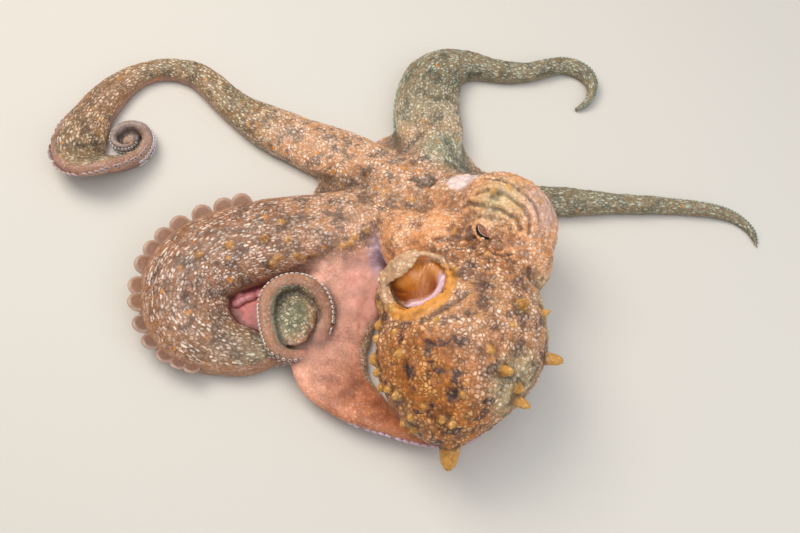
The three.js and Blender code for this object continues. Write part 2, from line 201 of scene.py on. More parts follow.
@dataclass(frozen=True)
class Layout:
    """Where the animal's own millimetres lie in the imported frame.

    Attributes:
        shift: the layout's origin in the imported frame, in millimetres.
        margin: how far inside the solids' box the skin is kept, in millimetres.
    """

    shift: Vector
    margin: float = 0.02

    def matrix(self) -> Matrix:
        """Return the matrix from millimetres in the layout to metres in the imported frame."""
        return Matrix.Scale(MM, 4) @ Matrix.Translation(self.shift)

    def point(self, place: Point) -> Vector:
        """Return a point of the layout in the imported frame."""
        return self.matrix() @ Vector(place)

    def clip(self, places: np.ndarray) -> np.ndarray:
        """Return places of the layout, kept within the box of the solids."""
        low, high = (np.array(corner) / MM - np.array(self.shift) for corner in CAD_BOX)
        return np.clip(places, low + self.margin, high - self.margin)


def object_of(name: str, mesh: bmesh.types.BMesh) -> bpy.types.Object:
    """Close a bmesh into a new object of the scene.

    Args:
        name: the object's name.
        mesh: the bmesh, which is freed.

    Returns:
        The new object, at the origin.
    """
    bmesh.ops.recalc_face_normals(mesh, faces=mesh.faces)
    data = bpy.data.meshes.new(name)
    mesh.to_mesh(data)
    mesh.free()
    made = bpy.data.objects.new(name, data)
    bpy.context.scene.collection.objects.link(made)
    return made


def settle(made: bpy.types.Object, kind: str,
           **settings: str | float | bpy.types.Object) -> bpy.types.Object:
    """Apply one modifier to an object's mesh.

    Args:
        made: the object.
        kind: the modifier's type.
        **settings: the modifier's settings.

    Returns:
        The same object.
    """
    modifier = made.modifiers.new(kind.title(), kind)
    for key, value in settings.items():
        setattr(modifier, key, value)
    shown = made.evaluated_get(bpy.context.evaluated_depsgraph_get())
    data = bpy.data.meshes.new_from_object(shown)
    made.modifiers.clear()
    old = made.data
    made.data = data
    bpy.data.meshes.remove(old)
    return made


def remove(made: bpy.types.Object) -> None:
    """Take a helper object out of the scene with its mesh.

    Args:
        made: the object.
    """
    data = made.data
    bpy.data.objects.remove(made)
    bpy.data.meshes.remove(data)


def read_rows(values: bpy.types.bpy_prop_collection, name: str) -> np.ndarray:
    """Read a vector of every item of a mesh's collection.

    Args:
        values: the collection.
        name: what the vector is called.

    Returns:
        An array of three columns.
    """
    flat = np.empty(len(values) * 3, np.float32)
    values.foreach_get(name, flat)
    return flat.reshape(-1, 3).astype(float)


def positions(data: bpy.types.Mesh) -> np.ndarray:
    """Return a mesh's vertex positions as an array of three columns."""
    return read_rows(data.vertices, "co")


def normals(data: bpy.types.Mesh) -> np.ndarray:
    """Return a mesh's vertex normals as an array of three columns."""
    return read_rows(data.vertex_normals, "vector")


def move_to(data: bpy.types.Mesh, places: np.ndarray) -> None:
    """Put a mesh's vertices at these places."""
    data.vertices.foreach_set("co", places.astype(np.float32).ravel())
    data.update()


def store_colour(data: bpy.types.Mesh, name: str, colours: np.ndarray) -> None:
    """Store a linear colour for each vertex of a mesh.

    Args:
        data: the mesh.
        name: the name it is stored under.
        colours: red, green and blue for each vertex.
    """
    attribute = data.color_attributes.new(name, "FLOAT_COLOR", "POINT")
    full = np.column_stack([colours, np.ones(len(colours))])
    attribute.data.foreach_set("color", full.astype(np.float32).ravel())


def store_vector(data: bpy.types.Mesh, name: str, vectors: np.ndarray) -> None:
    """Store a vector for each vertex of a mesh.

    Args:
        data: the mesh.
        name: the name it is stored under.
        vectors: three numbers for each vertex.
    """
    attribute = data.attributes.new(name, "FLOAT_VECTOR", "POINT")
    attribute.data.foreach_set("vector", vectors.astype(np.float32).ravel())


@dataclass(frozen=True)
class Neighbours:
    """The edges of a mesh, for averages over its surface."""

    ends: np.ndarray
    count: int

    @classmethod
    def of(cls, data: bpy.types.Mesh) -> "Neighbours":
        """Read the edges of a mesh.

        Args:
            data: the mesh.

        Returns:
            Its neighbours.
        """
        flat = np.empty(len(data.edges) * 2, np.int32)
        data.edges.foreach_get("vertices", flat)
        return cls(flat.reshape(-1, 2), len(data.vertices))

    def mean(self, values: np.ndarray, rounds: int = 1) -> np.ndarray:
        """Average values over the neighbours of each vertex.

        Args:
            values: one row or number for each vertex.
            rounds: how many times to average.

        Returns:
            The averaged values, of the same shape.
        """
        table = values.reshape(self.count, -1).astype(float)
        low, high = self.ends.T
        degree = np.bincount(self.ends.ravel(), minlength=self.count).clip(1)[:, None]
        for _ in range(rounds):
            total = np.empty_like(table)
            for column in range(table.shape[1]):
                one = table[:, column]
                total[:, column] = (np.bincount(low, one[high], self.count)
                                    + np.bincount(high, one[low], self.count))
            table = total / degree
        return table.reshape(values.shape)


# ---------------------------------------------------------------- arms
STEP_LENGTH, STEP_TURN = 22.0, 30.0  # longest step along an arm, in mm and in degrees
FINE_STEP = 2.6  # spacing of the sections that the skin is drawn through, mm
# (half width, height) shares of an arm's section that can rest on the floor
HALF_SECTION = ((0.78, 0.0), (1.0, 0.32), (0.8, 0.8), (0.28, 1.0))


@dataclass(frozen=True)
class Coil:
    """The closing spiral at an arm's end: every leg turns alike on a shorter arc.

    Attributes:
        radius: the first leg's radius, mm.
        turns: how many times it goes round.
        hand: 1 to turn left, -1 to turn right.
        closing: the radius after one turn, over the radius before it.
        clear: the arm's greatest height over the radius, so that the turns don't touch.
    """

    radius: float
    turns: float
    hand: int
    closing: float = 0.5
    clear: float = 0.6

    def legs(self) -> list[tuple[float, float, float]]:
        """Work out the spiral's legs.

        Returns:
            (length, turn in degrees, greatest height) of each leg.
        """
        legs = []
        for i in range(round(self.turns * 360 / STEP_TURN)):
            here = self.radius * self.closing ** (i * STEP_TURN / 360)
            legs.append((here * math.radians(STEP_TURN), self.hand * STEP_TURN, here * self.clear))
        return legs


@dataclass(frozen=True)
class Sections:
    """Sections across an arm, each column one number for each section, in mm and radians.

    Attributes:
        x: the section's middle.
        y: the same, ahead.
        heading: the way the arm runs there, from +X towards +Y.
        distance: how far along the arm it lies.
        half: its half width.
        height: its whole height.
        roll: how far it leans over to one side.
        middle: how high its middle lies.
    """

    x: np.ndarray
    y: np.ndarray
    heading: np.ndarray
    distance: np.ndarray
    half: np.ndarray
    height: np.ndarray
    roll: np.ndarray
    middle: np.ndarray

    def place(self, i: int, across: float, up: float) -> Vector:
        """Find a point of one section.

        Args:
            i: the section.
            across: how far the point lies from the section's middle, across the unrolled arm, in mm.
            up: how far it lies above the middle.

        Returns:
            The point, in mm.
        """
        c, s = math.cos(self.roll[i]), math.sin(self.roll[i])
        wide, high = across * c + up * s, up * c - across * s
        return Vector((self.x[i] + wide * math.sin(self.heading[i]),
                       self.y[i] - wide * math.cos(self.heading[i]), self.middle[i] + high))

    def at(self, distance: float) -> int:
        """Return the section nearest to a distance along the arm."""
        return int(np.abs(self.distance - distance).argmin())


@dataclass(frozen=True)
class Route:
    """One arm's way over the floor and its thickness, as in its solids, in mm and degrees.

    Attributes:
        name: the arm's name.
        start: its root's x and y.
        heading: the way it sets out, from +X towards +Y.
        bends: (length, turn) of each leg.
        girth: (distance, half width, height).
        tip: the half width at its end.
        roll: (distance, how far the arm leans over to its side).
        lift: (distance, clearance over the floor).
        side: the side it leans to, 1 or -1.
        web: how far out the web on its left reaches from the mouth.
        coil: the spiral at its end.
        band: the height share, on the outer side, where the patterned back gives way to plain skin.
        turned: whether the suckered side faces up, so that only the inner edge is patterned.
    """

    name: str
    start: tuple[float, float]
    heading: float
    bends: Rows
    girth: Rows
    tip: float
    roll: Rows
    lift: Rows
    side: int
    web: float
    coil: Coil | None = None
    band: float = 0.3
    turned: bool = False

    def steps(self) -> list[tuple[float, ...]]:
        """Walk the arm's route.

        Returns:
            (x, y, distance, half width, height, roll, middle height) at each bend step.
        """
        legs = [*self.bends, *(self.coil.legs() if self.coil else [])]
        total = sum(leg[0] for leg in legs)
        girth = (*[row for row in self.girth if row[0] < total], (total, self.tip, 2 * self.tip))
        x, y = self.start
        heading, distance = self.heading, 0.0
        rows = [self.step(x, y, distance, girth, math.inf)]
        for leg in legs:
            length, turn = leg[0], leg[1]
            count = max(1, math.ceil(length / STEP_LENGTH), math.ceil(abs(turn) / STEP_TURN))
            for _ in range(count):
                middle = math.radians(heading + turn / count / 2)
                x += length / count * math.cos(middle)
                y += length / count * math.sin(middle)
                heading += turn / count
                distance += length / count
                rows.append(self.step(x, y, distance, girth, leg[2] if len(leg) > 2 else math.inf))
        return rows

    def step(self, x: float, y: float, distance: float, girth: Rows, most: float) -> tuple[float, ...]:
        """Make one row of steps(), with the section standing on the floor.

        Args:
            x: the section's x.
            y: its y.
            distance: how far along the arm it lies.
            girth: the arm's (distance, half width, height) rows.
            most: the greatest height the section may have.

        Returns:
            The row.
        """
        half, height = along(girth, distance), min(most, along(girth, distance, 2))
        roll = math.radians(along(self.roll, distance)) * self.side
        c, s = math.cos(roll), math.sin(roll)
        rest = max(u * half * s - (v - 0.5) * height * c for a, v in HALF_SECTION for u in (a, -a))
        return x, y, distance, half, height, roll, along(self.lift, distance) + rest

    def sections(self) -> Sections:
        """Draw a smooth curve through the bend steps.

        Returns:
            Closely spaced sections on it.
        """
        rows = np.array(self.steps())
        padded = np.vstack([2 * rows[0] - rows[1], rows, 2 * rows[-1] - rows[-2]])
        spans = []
        for i in range(1, len(padded) - 2):
            p0, p1, p2, p3 = padded[i - 1:i + 3]
            count = max(1, round((p2[2] - p1[2]) / FINE_STEP))
            t = np.arange(count)[:, None] / count
            smooth = 0.5 * (2 * p1 + (p2 - p0) * t + (2 * p0 - 5 * p1 + 4 * p2 - p3) * t ** 2
                            + (3 * p1 - p0 - 3 * p2 + p3) * t ** 3)
            straight = p1 + (p2 - p1) * t
            spans.append(np.hstack([smooth[:, :2], straight[:, 2:]]))
        fine = np.vstack([*spans, rows[-1:]])
        heading = np.arctan2(np.gradient(fine[:, 1]), np.gradient(fine[:, 0]))
        return Sections(fine[:, 0], fine[:, 1], heading, *fine[:, 2:].T)


def section_point(angle: float) -> tuple[float, float]:
    """Find a point on a unit arm section: a round back, and a flatter sole.

    Args:
        angle: the angle from the section's right, its back at a quarter turn.

    Returns:
        How far the point lies across and up.
    """
    c, s = math.cos(angle), math.sin(angle)
    if s >= 0:
        return c, s
    size = (c ** 4 + s ** 4) ** 0.25
    return c / size, s / size


def add_arm(mesh: bmesh.types.BMesh, sections: Sections, last: int, slim: float = 0.0,
            sides: int = 24) -> None:
    """Add an arm, up to one of its sections, as a ball drawn out along its route.

    Args:
        mesh: the mesh that gets it.
        sections: the arm's sections.
        last: the last section used.
        slim: how much thinner it is made all round, in mm.
        sides: points round a section.
    """
    rings = last + 2
    for vert in add_ball(mesh, Matrix.Identity(4), sides, rings):
        ring = round(math.acos(max(-1.0, min(1.0, vert.co.z))) / math.pi * rings)
        i = min(max(ring - 1, 0), last)
        closed = ring in (0, rings)
        across, up = (0.0, 0.0) if closed else section_point(math.atan2(vert.co.y, vert.co.x))
        vert.co = sections.place(i, across * (sections.half[i] - slim), up * (sections.height[i] / 2 - slim))


ARMS = (
    Route("left_1", start=(-3, 80), heading=158,
          bends=((116, -7), (87, -21), (92, 98), (78, 44), (46, 104), (24, 30), (32, 88), (24, 90)),
          girth=((0, 18, 26), (60, 25, 28), (110, 22, 26), (180, 14, 20), (260, 10, 17), (330, 18, 18),
                (370, 23, 17), (405, 22, 16), (445, 11, 12), (485, 7.5, 9), (515, 6.5, 8)), tip=0.9,
          roll=((0, 0), (320, 0), (380, 20), (430, 60), (470, 85)), lift=((0, 8), (80, 0)), side=-1,
          web=112, coil=Coil(11, 1.7, 1), band=0.5),
    Route("left_2", start=(22, 47), heading=191,
          bends=((112, 4), (60, 4), (78, 113), (34, 34), (34, 18), (16, 0), (36, 82), (32, 84), (36, 100),
                (28, 24), (26, 110), (16, 30)),
          girth=((0, 20, 28), (60, 28, 36), (140, 37, 38), (200, 39, 34), (245, 34, 28), (290, 21, 22),
                (332, 8.5, 14), (400, 9, 14), (460, 8, 12), (500, 5, 8)), tip=2.5,
          roll=((0, 0), (300, 0), (340, 40), (372, 88)),
          lift=((0, 4), (80, 0), (330, 0), (365, 8), (395, 21), (430, 25), (465, 21), (505, 10)), side=-1,
          web=176, band=0.6),
    Route("left_3", start=(-14, 26), heading=226, bends=((40, 22), (60, 8), (54, 62), (60, 22), (40, 40)),
          girth=((0, 18, 26), (50, 29, 17), (90, 33, 14), (130, 30, 14), (170, 19, 14), (210, 9, 12), (260,
                5.5, 9)), tip=0.9, roll=((0, 0), (40, 12), (140, 14), (240, 60), (300, 80)),
          lift=((0, 6), (60, 0)), side=-1, web=66, coil=Coil(12, 1.2, 1), turned=True),
    Route("left_4", start=(24, 16), heading=262, bends=((60, 6), (40, 40)),
          girth=((0, 15, 22), (60, 12, 14), (100, 7, 10), (150, 5.5, 9)), tip=0.9,
          roll=((0, 0), (60, 0), (120, 75)), lift=((0, 4), (60, 0)), side=-1, web=62,
          coil=Coil(15, 1.5, 1)),
    Route("right_4", start=(54, 16), heading=302, bends=((60, 0), (40, -22)),
          girth=((0, 13, 22), (60, 12, 14), (100, 7, 10), (150, 5.5, 9)), tip=0.9,
          roll=((0, 0), (60, 0), (120, 75)), lift=((0, 4), (60, 0)), side=1, web=64,
          coil=Coil(13, 1.5, -1)),
    Route("right_3", start=(72, 28), heading=330, bends=((34, -38), (46, -30), (46, -4), (30, -32)),
          girth=((0, 13, 22), (60, 12, 16), (120, 9, 13), (170, 6.5, 10)), tip=0.9,
          roll=((0, 0), (100, 0), (170, 75)), lift=((0, 4), (60, 0)), side=1, web=62,
          coil=Coil(14, 1.5, -1)),
    Route("right_2", start=(72, 51), heading=10, bends=((76, -11), (71, -1), (55, -10), (44, -78)),
          girth=((0, 17, 26), (60, 13.5, 20), (120, 8.5, 15), (180, 6.5, 11), (240, 3, 5)), tip=0.9,
          roll=((0, 0), (120, 10), (240, 30)), lift=((0, 6), (60, 0)), side=1, web=66),
    Route("right_1", start=(31, 84), heading=93,
          bends=((42, 6), (50, -18), (66, -100), (66, 40), (24, -50), (56, -134)),
          girth=((0, 22, 26), (50, 30, 28), (105, 28, 25), (160, 12, 19), (200, 9, 16), (250, 7.5, 11),
                (290, 4, 7)), tip=2.0, roll=((0, 0), (190, 0), (250, 40), (300, 70)),
          lift=((0, 8), (70, 0)), side=1, web=98),
)


# ---------------------------------------------------------------- body forms
@dataclass(frozen=True)
class Crown:
    """The dome of arm roots and the web between the arms, in mm.

    Attributes:
        centre: x and y of the mouth, below the dome's top.
        height: the dome's height.
        rim: the thickness of its rim.
        peak: how far out it reaches along an arm.
        root: the share of `peak` at which an arm's direction is taken.
        middle: the share of the reach at which the web starts to sink below the dome, and over how much.
    """

    centre: tuple[float, float] = (30, 46)
    height: float = 44
    rim: float = 3
    peak: float = 88
    root: float = 0.85
    middle: tuple[float, float] = (0.2, 0.5)

    def arm_angles(self) -> list[tuple[float, float]]:
        """Find where the arms leave the crown.

        Returns:
            Each arm's (angle round the mouth, reach of the web on its left), in order of the angle.
        """
        found = []
        for arm in ARMS:
            for x, y, *_ in arm.steps():
                dx, dy = x - self.centre[0], y - self.centre[1]
                if math.hypot(dx, dy) > self.peak * self.root:
                    found.append((math.atan2(dy, dx), arm.web))
                    break
        return sorted(found)

    def add(self, mesh: bmesh.types.BMesh) -> None:
        """Add the dome to a mesh.

        Args:
            mesh: the mesh that gets it.
        """
        arms = self.arm_angles()
        turn = 2 * math.pi
        for vert in add_ball(mesh, Matrix.Identity(4), 144, 36):
            point = vert.co
            angle = math.atan2(point.y, point.x)
            following = next((i for i, arm in enumerate(arms) if arm[0] > angle), 0)
            low, high = arms[following - 1], arms[following]
            share = ((angle - low[0]) % turn) / ((high[0] - low[0]) % turn)
            between = math.sin(math.pi * share) ** 2
            reach = self.peak + (low[1] - self.peak) * between
            radius = math.hypot(point.x, point.y)
            full = math.sqrt(max(0.0, 1 - radius ** 3))
            thin = max(0.0, 1 - radius ** 1.5) ** 1.2
            fade = min(1.0, max(0.0, (radius - self.middle[0]) / self.middle[1]))
            up = full + (thin - full) * between * fade * fade * (3 - 2 * fade)
            vert.co = (self.centre[0] + radius * reach * math.cos(angle),
                       self.centre[1] + radius * reach * math.sin(angle),
                       self.rim + up * (self.height - self.rim) if point.z > 1e-6 else 0.0)


@dataclass(frozen=True)
class Head:
    """The head with its throat, neck and eye bulges, and the places of the eyes.

    Attributes:
        centre: the head's middle.
        half_sizes: its half sizes across, up its back and along.
        along: the way from the head to the mantle.
        across: the way from the left eye to the right one.
        throat: middle, half sizes, upper end and side way of the throat, which joins head and crown.
        necks: (centre, radius) of the balls that join head and mantle.
        fold: (centre, radius) of the ball that joins the crown and the left side of the neck.
        bulge_radius: the radius of the swelling round each eye.
        bulge_out: how far out that swelling's middle lies.
        eye_out: how far out an eye's middle lies.
        eye_up: how far it lies below the head's middle, in the head's frame.
        eye_forward: how far it lies towards the mantle.
        eye_radius: the bare eyeball, inside its solid.
        lid_radius: the lids' skin over it.
        slit_turn: the turn of lids and pupil about the eye's axis, in degrees.
    """

    centre: Point = (84, 8, 62)
    half_sizes: Point = (34, 33, 42)
    along: Point = (0.66, -0.74, -0.11)
    across: Point = (0.58, 0.6, -0.55)
    throat: tuple[Point, Point, Point, Point] = ((58, 26, 40), (33, 30, 50), (30, 46, 26), (0.6, 0.8, 0))
    necks: tuple[tuple[Point, float], ...] = (((86, -22, 50), 31), ((34, -8, 52), 28), ((10, -2, 40), 26))
    fold: tuple[Point, float] = ((-1, 15, 31), 21)
    bulge_radius: float = 17
    bulge_out: float = 20
    eye_out: float = 28.5
    eye_up: float = 2
    eye_forward: float = -2
    eye_radius: float = 10.3
    lid_radius: float = 11.4
    slit_turn: float = -12.0

    def frame(self) -> Matrix:
        """Return the head's frame: x towards the right eye, z towards the mantle, y up its back."""
        return frame_of(self.centre, self.across, self.along)

    def eye(self, side: int, out: float | None = None) -> Vector:
        """Find a point on an eye's axis.

        Args:
            side: -1 for the left eye, 1 for the right.
            out: the point's distance from the head's middle; the eye's own if it isn't given.

        Returns:
            The point, in mm.
        """
        return self.frame() @ Vector((side * (out or self.eye_out), -self.eye_up, self.eye_forward))

    def bulges(self) -> list[tuple[Vector, float]]:
        """Return (centre, radius) of the swelling round each eye."""
        return [(self.eye(side, self.bulge_out), self.bulge_radius) for side in (-1, 1)]

    def add(self, mesh: bmesh.types.BMesh) -> None:
        """Add the head's forms to a mesh.

        Args:
            mesh: the mesh that gets them.
        """
        add_ball(mesh, self.frame() @ sized(self.half_sizes), 48, 32)
        centre, half_sizes, upper_end, side_way = self.throat
        toward = Vector(upper_end) - Vector(centre)
        add_ball(mesh, frame_of(centre, side_way, toward) @ sized(half_sizes), 40, 28)
        for centre, radius in (*self.necks, self.fold, *self.bulges()):
            add_ball(mesh, Matrix.Translation(centre) @ sized((radius,) * 3))


@dataclass(frozen=True)
class Papilla:
    """A skin cone of the mantle.

    Attributes:
        share: its place along the mantle, 0 at the neck and 1 at the tip.
        turn: its place round the long axis, in degrees.
        length: how far it stands out, mm.
        radius: the radius at its foot, mm.
        blunt: the radius near its end, over the one at its foot.
    """

    share: float
    turn: float
    length: float
    radius: float
    blunt: float = 0.4


@dataclass(frozen=True)
class Mantle:
    """The mantle's bag, the lobe round its opening, and its tall papillae, in mm.

    Attributes:
        neck: the bag's front end.
        tip: its rear end.
        half_width: its half width.
        half_height: its half height.
        fullness: how far it widens towards the tip, as a share.
        sag: how far it widens below.
        taper: how much narrower the left and the right side are at the tip.
        taper_from: where that starts, from -1 at the neck to 1 at the tip.
        lobe_centre: the middle of the lobe round the opening.
        lobe_sizes: its half sizes.
        flare: the papillae's width at the foot, over their radius.
        round_from: the share of a papilla's length at which its round end starts.
        round_span: the square of the share that is left from there.
        papillae: the papillae.
    """

    neck: Point = (60, -20, 66)
    tip: Point = (31, -168, 50)
    half_width: float = 63
    half_height: float = 46
    fullness: float = 0.12
    sag: float = 0.12
    taper: tuple[float, float] = (0.14, 0.55)
    taper_from: float = -0.5
    lobe_centre: Point = (14, -62, 66)
    lobe_sizes: Point = (33, 30, 27)
    flare: float = 1.25
    round_from: float = 0.6
    round_span: float = 0.16
    papillae: tuple[Papilla, ...] = (
        Papilla(0.31, -22, 6, 3.2), Papilla(0.34, -54, 9, 4.2, 0.7), Papilla(0.5, -4, 13, 4.4, 0.8),
        Papilla(0.66, -56, 11, 3.8, 0.7), Papilla(0.74, -20, 12, 4, 0.7), Papilla(0.7, -32, 5, 3.6, 0.8),
        Papilla(0.99, 60, 15, 7, 0.75), Papilla(0.85, 118, 9, 5), Papilla(0.65, 178, 5, 4.2, 1.0),
        Papilla(0.4, -166, 5, 4.2, 1.0), Papilla(0.91, -100, 7, 2.4), Papilla(0.92, -88, 7, 2.6),
        Papilla(0.83, -148, 6, 3.4, 0.7), Papilla(0.92, -178, 4, 2.8, 0.7), Papilla(0.95, -160, 4, 2.6,
        0.7), Papilla(0.91, -144, 4, 2.4, 0.8), Papilla(0.72, -174, 4, 3.2, 1.0), Papilla(0.57, -168, 4, 3,
        1.0), Papilla(0.5, -172, 4, 3.4, 1.0), Papilla(0.66, -136, 4, 2.6, 0.8), Papilla(0.56, -142, 2.6, 2,
        0.8), Papilla(0.5, -110, 2, 1.8), Papilla(0.59, -72, 2.4, 2.4, 0.8), Papilla(0.8, -160, 4, 2.6,
        0.9), Papilla(0.78, -178, 4, 3, 1.0), Papilla(0.44, -150, 3, 2.6, 0.9), Papilla(0.45, -60, 2, 1.8),
        Papilla(0.87, -120, 3, 2), Papilla(0.8, -84, 3, 2),
    )

    def axis(self) -> Vector:
        """Return the vector from the neck to the tip."""
        return Vector(self.tip) - Vector(self.neck)

    def frame(self) -> Matrix:
        """Return the bag's frame: z towards the tip, x to the right."""
        return frame_of(Vector(self.neck) + self.axis() / 2, (1, 0, 0), self.axis())

    def surface(self, point: Vector) -> Vector:
        """Move a unit ball's point to the bag's surface.

        Args:
            point: the point.

        Returns:
            The point in the bag's frame, in mm.
        """
        swell = 1 + self.fullness * point.z * (1 - point.z * point.z)
        sag = 1 + self.sag * max(0.0, -point.y)
        near = max(0.0, (point.z - self.taper_from) / (1 - self.taper_from)) ** 2
        narrow = 1 - self.taper[point.x > 0] * near
        return Vector((point.x * self.half_width * swell * sag * narrow, point.y * self.half_height * swell,
                       point.z * self.axis().length / 2))

    def foot(self, one: Papilla) -> Matrix:
        """Find where a papilla stands.

        Args:
            one: the papilla.

        Returns:
            The frame of its foot on the bag's surface, z outwards.
        """
        angle, turned = math.acos(1 - 2 * one.share), math.radians(one.turn)
        unit = Vector((math.sin(angle) * math.cos(turned), -math.sin(angle) * math.sin(turned),
                       -math.cos(angle)))
        size = Vector((self.half_width, self.half_height, self.axis().length / 2))
        out = self.frame().to_3x3() @ Vector(u / s for u, s in zip(unit, size))
        across = (1, 0, 0) if abs(out.normalized().x) < 0.9 else (0, 1, 0)
        return frame_of(self.frame() @ self.surface(unit), across, out)

    def add(self, mesh: bmesh.types.BMesh) -> None:
        """Add the bag and the lobe to a mesh.

        Args:
            mesh: the mesh that gets them.
        """
        place = self.frame()
        for vert in add_ball(mesh, Matrix.Identity(4), 72, 48):
            vert.co = place @ self.surface(vert.co)
        add_ball(mesh, Matrix.Translation(self.lobe_centre) @ sized(self.lobe_sizes), 40, 28)

    def add_papillae(self, mesh: bmesh.types.BMesh) -> None:
        """Add the papillae to a mesh, each a cone with a round end.

        Args:
            mesh: the mesh that gets them.
        """
        for one in self.papillae:
            tall = one.length + one.radius
            place = self.foot(one) @ Matrix.Translation((0, 0, -one.radius))
            for vert in add_ball(mesh, Matrix.Identity(4), 16, 16):
                share = (vert.co.z + 1) / 2
                wide = one.radius * (self.flare + (one.blunt - self.flare) * share)
                rim = math.hypot(vert.co.x, vert.co.y)
                past = max(0.0, share - self.round_from)
                round_end = math.sqrt(max(0.0, 1 - past ** 2 / self.round_span))
                flat = rim and wide * min(1.0, rim * 3) * round_end / rim
                vert.co = place @ Vector((vert.co.x * flat, vert.co.y * flat, share * tall))


@dataclass(frozen=True)
class Aperture:
    """The gaping left opening of the mantle: x and y span its rim and z faces out, in mm.

    Attributes:
        centre: the middle of its rim.
        facing: the way it faces.
        across: the way that x leans to.
        half_width: half its size along x.
        half_length: half its size along y.
        depth: how deep the hollow is.
        lip: the thickness of its rim.
        thick: the rim's mean thickness over `lip`, and how much it changes on the way round.
        thickest: the angle round the rim, in radians, turned back from where it is thickest.
        flap_centre: the middle of the flap over its top.
        flap_sizes: the flap's half sizes.
        flap_turn: the flap's turn about z and its tilt about x, in degrees.
        slant: how steeply the line runs between its lower and its upper part.
        tint_level: how far below the rim's plane its tints are centred.
        tint_depth: the distances from there at which they end, and are whole.
        tint_inside: the shares of its half sizes at which the hollow's tint ends, and is whole.
        tint_rim: the same for the rim's, from the rim.
        tint_foot: the heights at which the rim's tint sets in, and is whole.
        tint_side: the distances above that line at which the lip's tint ends, and is whole.
    """

    centre: Point = (12, -62, 90)
    facing: Point = (-0.3, -0.36, 0.88)
    across: Point = (0.9, 0.3, 0.3)
    half_width: float = 24
    half_length: float = 21
    depth: float = 17
    lip: float = 4.3
    thick: tuple[float, float] = (0.78, 0.22)
    thickest: float = 2.2
    flap_centre: Point = (-7, 17, 1.2)
    flap_sizes: Point = (19, 8.5, 3.2)
    flap_turn: tuple[float, float] = (12, -18)
    slant: float = 0.25
    tint_level: float = 4
    tint_depth: tuple[float, float] = (24, 16)
    tint_inside: tuple[float, float] = (1.0, 0.9)
    tint_rim: tuple[float, float] = (0.3, 0.16)
    tint_foot: tuple[float, float] = (-9, -4)
    tint_side: tuple[float, float] = (6, -8)

    def frame(self) -> Matrix:
        """Return the opening's frame."""
        return frame_of(self.centre, self.across, self.facing)

    def add_bowl(self, mesh: bmesh.types.BMesh) -> None:
        """Add the hollow's shape, for cutting, to a mesh."""
        add_ball(mesh, self.frame() @ sized((self.half_width - 1, self.half_length - 1, self.depth)), 48, 32)

    def add_lip(self, mesh: bmesh.types.BMesh) -> None:
        """Add the rim, thick below and left and thinner to the right, and the flap over its top.

        Args:
            mesh: the mesh that gets them.
        """
        wheel = 10.0
        ring = bmesh.new()
        section = bmesh.ops.create_circle(ring, segments=14, radius=1.0)["verts"]
        upright = Matrix.Translation((wheel, 0, 0)) @ Matrix.Rotation(math.pi / 2, 4, "X")
        bmesh.ops.transform(ring, matrix=upright, verts=section)
        bmesh.ops.spin(ring, geom=[*ring.verts, *ring.edges], axis=(0, 0, 1), cent=(0, 0, 0), steps=56,
                       angle=2 * math.pi, use_merge=True)
        place = self.frame()
        for vert in ring.verts:
            angle = math.atan2(vert.co.y, vert.co.x)
            thick = self.lip * (self.thick[0] + self.thick[1] * math.cos(angle + self.thickest))
            out = math.hypot(vert.co.x, vert.co.y) - wheel
            vert.co = place @ Vector((math.cos(angle) * (self.half_width + out * thick),
                                      math.sin(angle) * (self.half_length + out * thick), vert.co.z * thick))
        bmesh.ops.recalc_face_normals(ring, faces=ring.faces)
        join(mesh, ring)
        turn, tilt = (math.radians(angle) for angle in self.flap_turn)
        flap = (Matrix.Translation(self.flap_centre) @ Matrix.Rotation(turn, 4, "Z")
                @ Matrix.Rotation(tilt, 4, "X"))
        add_ball(mesh, place @ flap @ sized(self.flap_sizes), 32, 20)


# ---------------------------------------------------------------- markings
@dataclass(frozen=True)
class Tint:
    """The colours and markings of one stretch of skin.

    Attributes:
        ground: the skin between the markings.
        fleck: the pale cells or dashes.
        dark: the blotches.
        net: how much of the skin is rounded pale cells.
        dash: how much of it is pale dashes along an arm.
        blotch: how far the dark blotches show.
        dots: how many orange spots it has.
    """

    ground: str
    fleck: str
    dark: str
    net: float = 0.0
    dash: float = 0.0
    blotch: float = 0.0
    dots: float = 0.0

    def row(self) -> np.ndarray:
        """Return the tint as one row of numbers, its colours linear."""
        colours = [part for colour in (self.ground, self.fleck, self.dark) for part in to_linear(colour)]
        return np.array([*colours, self.net, self.dash, self.blotch, self.dots])


